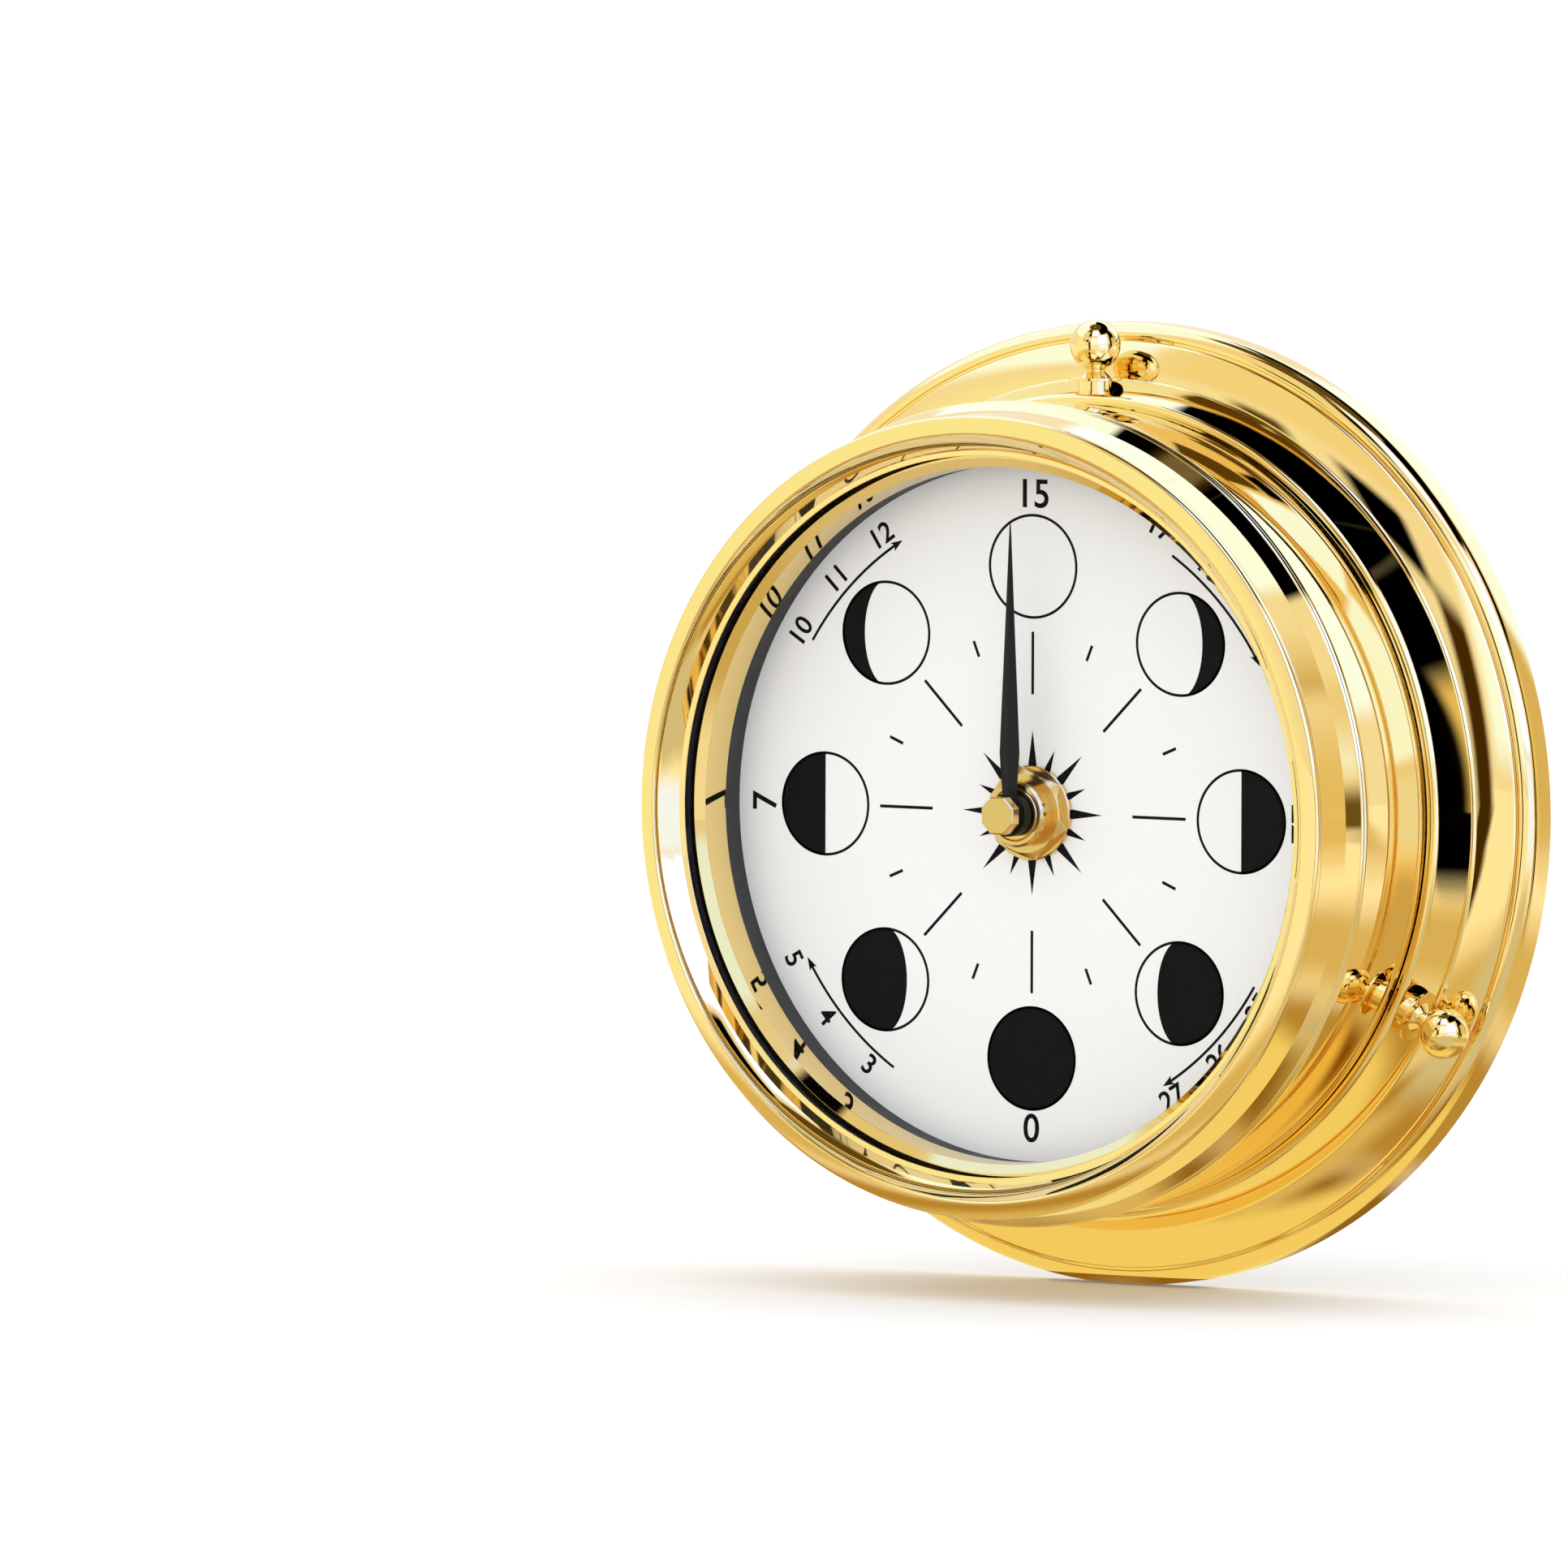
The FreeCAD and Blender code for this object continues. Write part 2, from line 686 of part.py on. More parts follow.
# Bezel: screws over the front spigot, holds the glass under its lip, and shows a conical flank,
# a fine line, a rounded crest and a stepped funnel down to the glass.
def bezel_ring():
    rear = band_front + size("bezel_rear_gap")
    thread_bore = thread_radius + size("bezel_thread_gap")
    glass_bore = glass_radius + size("bezel_glass_gap")
    lip_front = glass_front + size("lip_thickness")
    funnel_low = lip_front + size("lip_slope_height")
    funnel_middle = funnel_low + size("funnel_lower_height")
    funnel_high = funnel_middle + size("funnel_upper_height")
    crest = funnel_high + size("crest_inner_round")
    line_rear = crest - size("bezel_line_below_crest")
    line_front = line_rear + size("bezel_line_width")
    flank_low = rear + size("bezel_edge_height")
    crest_side = crest - size("crest_outer_drop") - size("crest_outer_round")
    keep(turned("bezel_ring", [
        line(bezel_edge_radius, rear),
        line(bezel_edge_radius, flank_low),
        line(bezel_waist_radius, flank_low + size("bezel_flank_height")),
        line(bezel_neck_radius, line_rear),
        line(bezel_neck_radius - size("bezel_line_depth"), line_rear),
        line(bezel_neck_radius - size("bezel_line_depth"), line_front),
        line(crest_outer_radius, line_front),
        line(crest_outer_radius, crest_side),
        curve(crest_outer_radius - size("crest_outer_round"),
              crest_side + size("crest_outer_round"), size("crest_outer_round"), 1),
        line(crest_inner_radius + size("crest_inner_round"), crest),
        curve(crest_inner_radius, funnel_high, size("crest_inner_round"), 1),
        line(funnel_upper_radius, funnel_middle),
        line(funnel_lower_radius, funnel_low),
        line(lip_radius, lip_front),
        line(lip_radius, glass_front),
        line(glass_bore, glass_front),
        line(glass_bore, rear + size("bezel_thread_depth")),
        line(thread_bore, rear + size("bezel_thread_depth")),
        line(thread_bore, rear),
    ]), "bezel_ring")


# Glass with eased edges, pressed onto a soft gasket that sits on the front spigot.
def glass_and_gasket():
    edge = size("glass_edge_chamfer")
    radius = glass_radius
    keep(turned("glass_lens", [
        line(radius - edge, glass_rear),
        line(radius, glass_rear + edge),
        line(radius, glass_front - edge),
        line(radius - edge, glass_front),
        line(ZERO, glass_front),
        line(ZERO, glass_rear),
    ]), "glass_lens")
    keep(ring("glass_gasket", well_radius + size("gasket_inset"), radius, gasket_rear, glass_rear),
         "glass_gasket")


# Dial on the ledge, a dark spacer on the dial, and the bright inner ring that flares to the glass.
def dial_stack():
    keep(ring("dial_plate", size("bush_radius") + size("seat_gap"), stack_radius,
              dial_rear, size("dial_front")), "dial_plate")
    keep(ring("dial_spacer", stack_radius - size("spacer_wall"), stack_radius,
              size("dial_front"), spacer_front), "dial_spacer")
    wall_front = spacer_front + size("inner_ring_wall_height")
    wall_radius = stack_radius - size("inner_ring_wall")
    keep(turned("inner_ring", [
        line(stack_radius, spacer_front),
        line(stack_radius, inner_ring_front),
        line(wall_radius + size("inner_ring_flare"), inner_ring_front),
        line(wall_radius, wall_front),
        line(wall_radius, spacer_front),
    ]), "inner_ring")


# Threaded bush of the movement, with the rubber washer, nut and collar that clamp the dial to it.
def bush_and_nut():
    chamfer = size("bush_front_chamfer")
    keep(turned("threaded_bush", [
        line(size("bush_flange_radius"), bush_flange_rear),
        line(size("bush_flange_radius"), housing_inner_front),
        line(size("bush_radius"), housing_inner_front),
        line(size("bush_radius"), bush_front - chamfer),
        line(size("bush_radius") - chamfer, bush_front),
        line(bush_bore_radius, bush_front),
        line(bush_bore_radius, bush_flange_rear),
    ]), "threaded_bush")
    bore = size("bush_radius") + size("seat_gap")
    keep(ring("rubber_washer", bore, size("rubber_washer_radius"), housing_front, dial_rear),
         "rubber_washer")
    nut_front = size("dial_front") + size("nut_height")
    keep(turned("dial_nut", [
        line(size("nut_radius"), size("dial_front")),
        line(size("nut_radius"), size("dial_front") + size("nut_side_height")),
        line(size("nut_top_radius"), nut_front),
        line(bore, nut_front),
        line(bore, size("dial_front")),
    ]), "dial_nut")
    collar_front = nut_front + size("bush_collar_height")
    collar_edge = size("bush_collar_chamfer")
    keep(turned("bush_collar", [
        line(size("bush_collar_radius"), nut_front),
        line(size("bush_collar_radius"), collar_front - collar_edge),
        line(size("bush_collar_radius") - collar_edge, collar_front),
        line(bore, collar_front),
        line(bore, nut_front),
    ]), "bush_collar")


# The hand's arbor runs from a pivot in the cover, through the bush, to a stub for the cap nut.
def hand_and_arbor():
    wheel_rear = moon_wheel_front - size("wheel_thickness")
    keep(turned("hand_arbor", [
        line(size("pivot_radius"), cover_front - size("pivot_depth") + size("pivot_end_gap")),
        line(size("pivot_radius"), wheel_rear),
        line(size("arbor_radius"), wheel_rear),
        line(size("arbor_radius"), hub_front),
        line(size("arbor_stub_radius"), hub_front),
        line(size("arbor_stub_radius"), stub_front),
        line(ZERO, stub_front),
        line(ZERO, cover_front - size("pivot_depth") + size("pivot_end_gap")),
    ]), "hand_arbor")

    hand = new_body("moon_hand")
    add_pad(hand, "hand_hub", hub_rear, size("hand_hub_height"),
            circle=(ZERO, ZERO, size("hand_hub_radius")))
    root = size("hand_root_half_width")
    belly = size("hand_belly_half_width")
    tip = size("hand_tip_half_width")
    add_pad(hand, "hand_blade", hub_rear + size("hand_blade_lift"), size("hand_thickness"), steps=[
        line(root, ZERO),
        line(belly, size("hand_belly_distance")),
        line(tip, size("hand_length")),
        line(-tip, size("hand_length")),
        line(-belly, size("hand_belly_distance")),
        line(-root, ZERO),
    ])
    add_pocket(hand, "hand_bore", hub_rear, size("hand_hub_height"),
               circle=(ZERO, ZERO, size("arbor_radius") + size("seat_gap")))
    keep(locate(hand), "moon_hand")

    cap = new_body("hand_cap_nut")
    neck_front = hub_front + size("cap_neck_height")
    add_pad(cap, "cap_neck", hub_front, size("cap_neck_height"),
            circle=(ZERO, ZERO, size("cap_neck_radius")))
    sides = int(VALUES["cap_sides"])
    corner_radius = size("cap_head_radius")
    step = 2 * math.pi / sides
    corners = [((number + 0.5) * step) for number in range(sides)]
    add_pad(cap, "cap_head", neck_front, size("cap_head_height"),
            steps=[line(corner_radius * math.cos(angle), corner_radius * math.sin(angle))
                   for angle in corners])
    add_pocket(cap, "cap_bore", hub_front, size("arbor_stub_length") + size("cap_bore_margin"),
               circle=(ZERO, ZERO, size("arbor_stub_radius") + size("seat_gap")))
    doc.recompute()
    front = (hub_front + size("cap_neck_height") + size("cap_head_height")).number
    rim = ["Edge%d" % (number + 1) for number, edge in enumerate(cap.Shape.Edges)
           if all(abs(corner.Point.z - front) < VALUES["seat_gap"] for corner in edge.Vertexes)]
    head = cap.Tip
    ease = cap.newObject("PartDesign::Chamfer", "cap_edges")
    ease.Base = (head, rim)
    ease.setExpression("Size", size("cap_head_chamfer").text)
    cap.Tip = ease
    keep(locate(cap), "hand_cap_nut")


# The gear train stands in layers behind the bush flange. Each wheel's place follows from its
# teeth and from the direction in which it lies from the wheel that it meshes with.
moon_wheel_front = bush_flange_rear - size("moon_wheel_below_bush")
moon_wheel_rear = moon_wheel_front - size("wheel_thickness")
intermediate_wheel_front = moon_wheel_rear - size("train_layer_gap")
intermediate_wheel_rear = intermediate_wheel_front - size("wheel_thickness")
third_wheel_front = intermediate_wheel_rear - size("train_layer_gap") - size("pinion_overhang")
third_wheel_rear = third_wheel_front - size("wheel_thickness")
rotor_magnet_front = third_wheel_rear - size("train_layer_gap")
stator_middle = rotor_magnet_front - size("rotor_magnet_height") / 2


def pitch_radius(teeth):
    return size("gear_module") * size(teeth) / 2


def beside(centre, teeth, other_teeth, direction):
    """The centre of a gear that meshes with the one at centre, lying in this direction."""
    distance = pitch_radius(teeth) + pitch_radius(other_teeth)
    radians = math.radians(direction)
    return (centre[0] + distance * math.cos(radians), centre[1] + distance * math.sin(radians))


def mesh_turn(turn, teeth, other_teeth, direction):
    """The turn that puts the other gear's gaps on this gear's teeth."""
    share = ((direction - turn) * VALUES[teeth] / 360.0) % 1.0
    return direction + 180.0 + (share + 0.5) * 360.0 / VALUES[other_teeth]


intermediate_direction = VALUES["intermediate_direction"]
third_direction = intermediate_direction + VALUES["third_bend"]
rotor_direction = third_direction + VALUES["rotor_bend"]
stem_direction = VALUES["stem_direction"]

moon_place = (ZERO, ZERO)
intermediate_place = beside(moon_place, "moon_teeth", "intermediate_pinion_teeth",
                            intermediate_direction)
third_place = beside(intermediate_place, "intermediate_teeth", "third_pinion_teeth",
                     third_direction)
rotor_place = beside(third_place, "third_teeth", "rotor_pinion_teeth", rotor_direction)
stem_place = beside(moon_place, "moon_teeth", "stem_teeth", stem_direction)
intermediate_turn = mesh_turn(0.0, "moon_teeth", "intermediate_pinion_teeth",
                              intermediate_direction)
third_turn = mesh_turn(intermediate_turn, "intermediate_teeth", "third_pinion_teeth",
                       third_direction)
rotor_turn = mesh_turn(third_turn, "third_teeth", "rotor_pinion_teeth", rotor_direction)
stem_turn = mesh_turn(0.0, "moon_teeth", "stem_teeth", stem_direction)


def add_gear(body, name, teeth, low, thickness):
    """A toothed disc: the first tooth lies on the body's own X axis."""
    module = size("gear_module")
    tooth_pitch = module * math.pi
    root_radius = pitch_radius(teeth) - module * size("tooth_root_share")
    tip_radius = pitch_radius(teeth) + module * size("tooth_tip_share")
    root_half = tooth_pitch * size("tooth_root_width_share")
    tip_half = tooth_pitch * size("tooth_tip_width_share")
    foot = root_radius - size("tooth_sink")
    add_pad(body, name + "_disc", low, thickness, circle=(ZERO, ZERO, root_radius))
    tooth = add_pad(body, name + "_tooth", low, thickness, steps=[
        line(foot, -root_half), line(tip_radius, -tip_half),
        line(tip_radius, tip_half), line(foot, root_half),
    ])
    add_pattern(body, tooth, size(teeth), tooth.Profile[0])


def add_spindle(body, name, low, high, radius):
    add_pad(body, name, low, high - low, circle=(ZERO, ZERO, radius))


def moon_wheel():
    wheel = new_body("moon_wheel")
    add_gear(wheel, "moon_gear", "moon_teeth", moon_wheel_rear, size("wheel_thickness"))
    add_pad(wheel, "moon_hub", moon_wheel_front, size("wheel_hub_height"),
            circle=(ZERO, ZERO, size("wheel_hub_radius")))
    add_pocket(wheel, "moon_bore", moon_wheel_rear, size("wheel_thickness") + size("wheel_hub_height"),
               circle=(ZERO, ZERO, size("arbor_radius") + size("seat_gap")))
    keep(locate(wheel), "moon_wheel")


def train_wheel(name, place, turn, wheel_teeth, wheel_rear, pinion_teeth, partner_rear):
    """A wheel and the pinion that meshes with its partner, on one pivoted spindle."""
    body = new_body(name)
    rear = cover_front - size("pivot_depth") + size("pivot_end_gap")
    front = housing_inner_front + size("pivot_depth") - size("pivot_end_gap")
    overhang = size("pinion_overhang")
    add_spindle(body, name + "_spindle", rear, front, size("pivot_radius"))
    if wheel_teeth:
        add_gear(body, name + "_wheel", wheel_teeth, wheel_rear, size("wheel_thickness"))
    add_gear(body, name + "_pinion", pinion_teeth, partner_rear - overhang,
             size("wheel_thickness") + overhang * 2)
    return locate(body, place[0], place[1], ZERO, turn), body


def gear_train():
    moon_wheel()
    item, body = train_wheel("intermediate_wheel", intermediate_place, intermediate_turn,
                             "intermediate_teeth", intermediate_wheel_rear,
                             "intermediate_pinion_teeth", moon_wheel_rear)
    link = intermediate_wheel_front
    add_spindle(body, "intermediate_sleeve", link, moon_wheel_rear, pitch_radius(
        "intermediate_pinion_teeth") - size("gear_module"))
    keep(item, "intermediate_wheel")
    item, body = train_wheel("third_wheel", third_place, third_turn, "third_teeth", third_wheel_rear,
                             "third_pinion_teeth", intermediate_wheel_rear)
    add_spindle(body, "third_sleeve", third_wheel_front, intermediate_wheel_rear, pitch_radius(
        "third_pinion_teeth") - size("gear_module"))
    keep(item, "third_wheel")
    item, body = train_wheel("rotor", rotor_place, rotor_turn, None, None,
                             "rotor_pinion_teeth", third_wheel_rear)
    magnet_rear = rotor_magnet_front - size("rotor_magnet_height")
    add_pad(body, "rotor_magnet", magnet_rear, size("rotor_magnet_height"),
            circle=(ZERO, ZERO, size("rotor_magnet_radius")))
    keep(item, "rotor")


# The setting stem meshes with the moon wheel and carries a knob behind the cover.
def setting_parts():
    stem = new_body("setting_stem")
    stem_rear = housing_rear - size("stem_end_behind_cover")
    front = housing_inner_front + size("pivot_depth") - size("pivot_end_gap")
    pinion_rear = moon_wheel_rear - size("pinion_overhang")
    add_spindle(stem, "stem_shaft", stem_rear, pinion_rear, size("stem_radius"))
    add_gear(stem, "stem_pinion", "stem_teeth", pinion_rear,
             size("wheel_thickness") + size("pinion_overhang") * 2)
    add_spindle(stem, "stem_pivot", pinion_rear, front, size("pivot_radius"))
    keep(locate(stem, stem_place[0], stem_place[1], ZERO, stem_turn), "setting_stem")

    knob = new_body("setting_knob")
    knob_front = housing_rear - size("knob_cover_gap")
    knob_rear = knob_front - size("knob_height")
    grip_radius = size("knob_radius") - size("knob_grip_depth")
    half = size("knob_grip_width") / 2
    add_pad(knob, "knob_disc", knob_rear, size("knob_height"), circle=(ZERO, ZERO, grip_radius))
    grip = add_pad(knob, "knob_grip", knob_rear, size("knob_height"), steps=rectangle(
        grip_radius - size("knob_grip_width"), size("knob_radius"), -half, half))
    add_pattern(knob, grip, size("knob_grip_count"), grip.Profile[0])
    add_pocket(knob, "knob_bore", stem_rear, knob_front - stem_rear,
               circle=(ZERO, ZERO, size("stem_radius") + size("seat_gap")))
    keep(locate(knob, stem_place[0], stem_place[1]), "setting_knob")


# Movement housing: an open-backed box with a gear bay, a battery bay, bearings and stator posts.
battery_middle = -(bay_half - size("battery_radius") - size("battery_side_gap"))
battery_bay_top = battery_middle + size("battery_radius") + size("battery_side_gap")
gear_bay_low = battery_bay_top + size("housing_wall")
cover_low = battery_bay_top + size("housing_wall") / 2
stator_left = rotor_place[0] - size("stator_left_reach")
stator_plate_right = rotor_place[0] + size("stator_right_reach")
core_right = bay_half - size("stator_right_room")
core_left = core_right - size("stator_arm_width")
stator_low = rotor_place[1] - size("stator_half_height")
stator_high = rotor_place[1] + size("stator_half_height")
stator_rear = stator_middle - size("stator_thickness") / 2
stator_front = stator_middle + size("stator_thickness") / 2
core_middle = core_left + size("stator_arm_width") / 2
post_across = rotor_place[0] + size("stator_post_reach")
post_heights = (stator_low + size("stator_arm_width") / 2, stator_high - size("stator_arm_width") / 2)
bearing_radius = size("pivot_radius") + size("pivot_gap")


def movement_housing():
    body = new_body("movement_housing")
    add_pad(body, "housing_block", housing_rear, housing_depth, steps=rounded_rectangle(
        -half_width, half_width, -half_width, half_width, size("housing_corner")))
    add_pocket(body, "cover_seat", housing_rear, size("cover_thickness"),
               steps=rectangle(-half_width, half_width, cover_low, half_width))
    add_pocket(body, "gear_bay", cover_front, housing_inner_front - cover_front,
               steps=rounded_rectangle(-bay_half, bay_half, gear_bay_low, bay_half, size("bay_corner")))
    bay_floor = housing_front - size("battery_front_wall")
    add_pocket(body, "battery_bay", housing_rear, bay_floor - housing_rear,
               steps=rounded_rectangle(-bay_half, bay_half, -bay_half, battery_bay_top,
                                       size("bay_corner")))
    add_pocket(body, "bush_hole", housing_inner_front, size("housing_front_wall"),
               circle=(ZERO, ZERO, size("bush_radius") + size("seat_gap")))
    places = {"intermediate": intermediate_place, "third": third_place,
              "rotor": rotor_place, "stem": stem_place}
    for name, place in places.items():
        add_pocket(body, name + "_front_bearing", housing_inner_front, size("pivot_depth"),
                   circle=(place[0], place[1], bearing_radius))
    for number, height in enumerate(post_heights):
        add_pad(body, "stator_post_%d" % number, stator_front, housing_inner_front - stator_front,
                circle=(post_across, height, size("stator_post_radius")))
    keep(locate(body), "movement_housing")


# The cover closes the gear bay, and carries the rear bearings and the hole for the setting stem.
def movement_cover():
    body = new_body("movement_cover")
    low = cover_low + size("cover_gap")
    add_pad(body, "cover_plate", housing_rear, size("cover_thickness"), steps=rectangle(
        -(half_width - size("housing_corner")), half_width - size("housing_corner"), low, half_width))
    add_pad(body, "cover_wings", housing_rear, size("cover_thickness"), steps=rectangle(
        -half_width, half_width, low, half_width - size("housing_corner")))
    places = {"moon": moon_place, "intermediate": intermediate_place,
              "third": third_place, "rotor": rotor_place}
    for name, place in places.items():
        add_pocket(body, name + "_rear_bearing", cover_front - size("pivot_depth"), size("pivot_depth"),
                   circle=(place[0], place[1], bearing_radius))
    add_pocket(body, "stem_hole", housing_rear, size("cover_thickness"),
               circle=(stem_place[0], stem_place[1], size("stem_radius") + size("pivot_gap")))
    keep(locate(body), "movement_cover")


# Battery lying across the bottom of the housing, between its two contacts.
def battery_parts():
    radius = size("battery_radius")
    nub_end = bay_half - size("contact_thickness") - size("contact_end_gap")
    start = nub_end - size("battery_length")
    shoulder_end = nub_end - size("battery_nub_height")
    middle = housing_front - size("battery_front_wall") - size("battery_side_gap") - radius
    edge = size("battery_edge")
    cell = new_body("battery")
    add_revolution(cell, [
        line(radius - edge, start),
        line(radius, start + edge),
        line(radius, shoulder_end - edge),
        line(radius - edge, shoulder_end),
        line(size("battery_nub_radius"), shoulder_end),
        line(size("battery_nub_radius"), nub_end),
        line(ZERO, nub_end),
        line(ZERO, start),
    ])
    across = FreeCAD.Rotation(FreeCAD.Vector(0, 0, 1), FreeCAD.Vector(1, 0, 0))
    cell.Placement = FreeCAD.Placement(
        FreeCAD.Vector(0, -middle.number, battery_middle.number), across)
    cell.setExpression("Placement.Base.y", (-middle).text)
    cell.setExpression("Placement.Base.z", battery_middle.text)
    keep(cell, "battery")

    thickness = size("contact_thickness")
    width = size("contact_width")
    height = size("contact_height")
    low = battery_middle - height / 2
    rear = middle - width / 2
    keep(block("battery_contact_positive", bay_half - thickness, low, rear, thickness, height, width),
         "battery_contact_positive")
    plate = block("contact_plate", -bay_half, low, rear, thickness, height, width)
    spring = cylinder("contact_spring", size("contact_spring_radius"),
                      start + bay_half - size("contact_end_gap"))
    spring.Placement = FreeCAD.Placement(
        FreeCAD.Vector(-bay_half.number, -middle.number, battery_middle.number), across)
    spring.setExpression("Placement.Base.x", (-bay_half).text)
    spring.setExpression("Placement.Base.y", (-middle).text)
    spring.setExpression("Placement.Base.z", battery_middle.text)
    negative = doc.addObject("Part::Fuse", "battery_contact_negative")
    negative.Base = plate
    negative.Tool = spring
    keep(negative, "battery_contact_negative")


# Step motor: a stator frame round the rotor, whose right side is the core of the coil.
def step_motor():
    stator = new_body("stator_plate")
    add_pad(stator, "stator_frame", stator_rear, size("stator_thickness"),
            steps=rectangle(stator_left, core_right, stator_low, stator_high))
    add_pocket(stator, "stator_window", stator_rear, size("stator_thickness"), steps=rectangle(
        stator_plate_right, core_left,
        stator_low + size("stator_arm_width"), stator_high - size("stator_arm_width")))
    add_pocket(stator, "stator_bore", stator_rear, size("stator_thickness"),
               circle=(rotor_place[0], rotor_place[1], size("stator_bore_radius")))
    keep(locate(stator), "stator_plate")

    # The core's section is a rectangle, so the bobbin's bore clears its half diagonal.
    core_half_diagonal = as_size(math.hypot(0.5, 0.5 * VALUES["stator_thickness"]
                                            / VALUES["stator_arm_width"])) * size("stator_arm_width")
    bore = core_half_diagonal + size("bobbin_bore_gap")
    low = stator_low + size("stator_arm_width") + size("bobbin_end_gap")
    high = stator_high - size("stator_arm_width") - size("bobbin_end_gap")
    flange = size("bobbin_flange_thickness")
    upright = FreeCAD.Rotation()
    bobbin = new_body("coil_bobbin")
    add_revolution(bobbin, [
        line(size("bobbin_flange_radius"), low),
        line(size("bobbin_flange_radius"), low + flange),
        line(size("bobbin_core_radius"), low + flange),
        line(size("bobbin_core_radius"), high - flange),
        line(size("bobbin_flange_radius"), high - flange),
        line(size("bobbin_flange_radius"), high),
        line(bore, high),
        line(bore, low),
    ])
    winding = new_body("coil_winding")
    inner = size("bobbin_core_radius") + size("seat_gap")
    add_revolution(winding, [
        line(size("winding_radius"), low + flange + size("seat_gap")),
        line(size("winding_radius"), high - flange - size("seat_gap")),
        line(inner, high - flange - size("seat_gap")),
        line(inner, low + flange + size("seat_gap")),
    ])
    for item in (bobbin, winding):
        item.Placement = FreeCAD.Placement(
            FreeCAD.Vector(core_middle.number, -stator_middle.number, 0), upright)
        item.setExpression("Placement.Base.x", core_middle.text)
        item.setExpression("Placement.Base.y", (-stator_middle).text)
    keep(bobbin, "coil_bobbin")
    keep(winding, "coil_winding")


# Circuit board on the inside of the cover, with the crystal's can standing up it.
def electronics():
    left = -bay_half + size("board_left_gap")
    high = bay_half - size("board_top_gap")
    low = high - size("board_height")
    keep(block("circuit_board", left, low, cover_front, size("board_width"), size("board_height"),
               size("board_thickness")), "circuit_board")
    crystal = cylinder("quartz_crystal", size("crystal_radius"), size("crystal_length"))
    middle = cover_front + size("board_thickness") + size("crystal_board_gap") + size("crystal_radius")
    place = left + size("board_width") / 2
    foot = high - size("crystal_inset") - size("crystal_length")
    crystal.Placement = FreeCAD.Placement(
        FreeCAD.Vector(place.number, -middle.number, foot.number), FreeCAD.Rotation())
    crystal.setExpression("Placement.Base.x", place.text)
    crystal.setExpression("Placement.Base.y", (-middle).text)
    crystal.setExpression("Placement.Base.z", foot.text)
    keep(crystal, "quartz_crystal")


base_flange()
ball_screws()
case_drum()
bezel_ring()
glass_and_gasket()
dial_stack()
bush_and_nut()
hand_and_arbor()
gear_train()
setting_parts()
movement_housing()
movement_cover()
battery_parts()
step_motor()
electronics()
doc.recompute()

for item in doc.Objects:
    if "Invalid" in item.State or "Error" in item.State:
        raise RuntimeError(item.Name + " failed: " + str(item.State))
for item in NODES:
    if item.Shape.isNull() or not item.Shape.isValid() or not item.Shape.Solids:
        raise RuntimeError(item.Label + " has no valid solid")

os.makedirs("parts", exist_ok=True)
for item in NODES:
    item.Shape.exportStep("parts/%s.step" % item.Label)
    box = item.Shape.BoundBox
    print("%-26s %9.1f mm3  y %7.2f %7.2f" % (item.Label, item.Shape.Volume, box.YMin, box.YMax))
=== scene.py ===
import json
import math

import bmesh
import bpy
from mathutils import Matrix, Vector


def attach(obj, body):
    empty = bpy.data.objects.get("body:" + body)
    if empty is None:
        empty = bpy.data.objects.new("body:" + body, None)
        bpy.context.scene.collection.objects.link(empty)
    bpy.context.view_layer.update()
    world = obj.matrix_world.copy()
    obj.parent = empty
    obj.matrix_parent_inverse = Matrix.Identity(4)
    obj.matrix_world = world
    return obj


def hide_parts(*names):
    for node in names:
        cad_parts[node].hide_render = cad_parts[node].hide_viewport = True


# A moon phase clock in a polished brass case. Lengths in the outlines are in millimetres, as
# (radius, forward), where forward is the distance in front of the clock's flat back.

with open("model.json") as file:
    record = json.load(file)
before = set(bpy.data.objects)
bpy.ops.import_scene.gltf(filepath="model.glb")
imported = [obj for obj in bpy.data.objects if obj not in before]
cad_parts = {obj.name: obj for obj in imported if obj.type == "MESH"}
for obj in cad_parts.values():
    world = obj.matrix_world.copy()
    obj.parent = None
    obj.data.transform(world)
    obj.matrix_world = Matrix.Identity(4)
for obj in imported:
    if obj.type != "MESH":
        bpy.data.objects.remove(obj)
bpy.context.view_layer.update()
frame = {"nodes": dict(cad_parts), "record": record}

MM = 0.001
TURNS = 192
EASE = 0.06
DIAL_FRONT = 26.5
ON_AXIS = 1e-6
MERGE_DISTANCE = 1e-7
NOISE_LOW = 0.3
NOISE_HIGH = 0.7
BUMP_STRENGTH = 0.3
BUMP_FINENESS = 8


def linked_object(name, data):
    thing = bpy.data.objects.new(name, data)
    bpy.context.scene.collection.objects.link(thing)
    return thing


# Camera at the photograph's viewing angle: a long lens, far away, aimed past the clock.
IMAGE_SIZE = 1932
FOCAL_PIXELS = 30000.0
CAMERA_AZIMUTH = 32.536
CAMERA_ELEVATION = 3.672
CAMERA_ROLL = 0.187
CAMERA_DISTANCE = 3.18568
DIAL_CENTRE_PIXEL = (1271.968, 1001.194)
SENSOR_WIDTH = 36.0


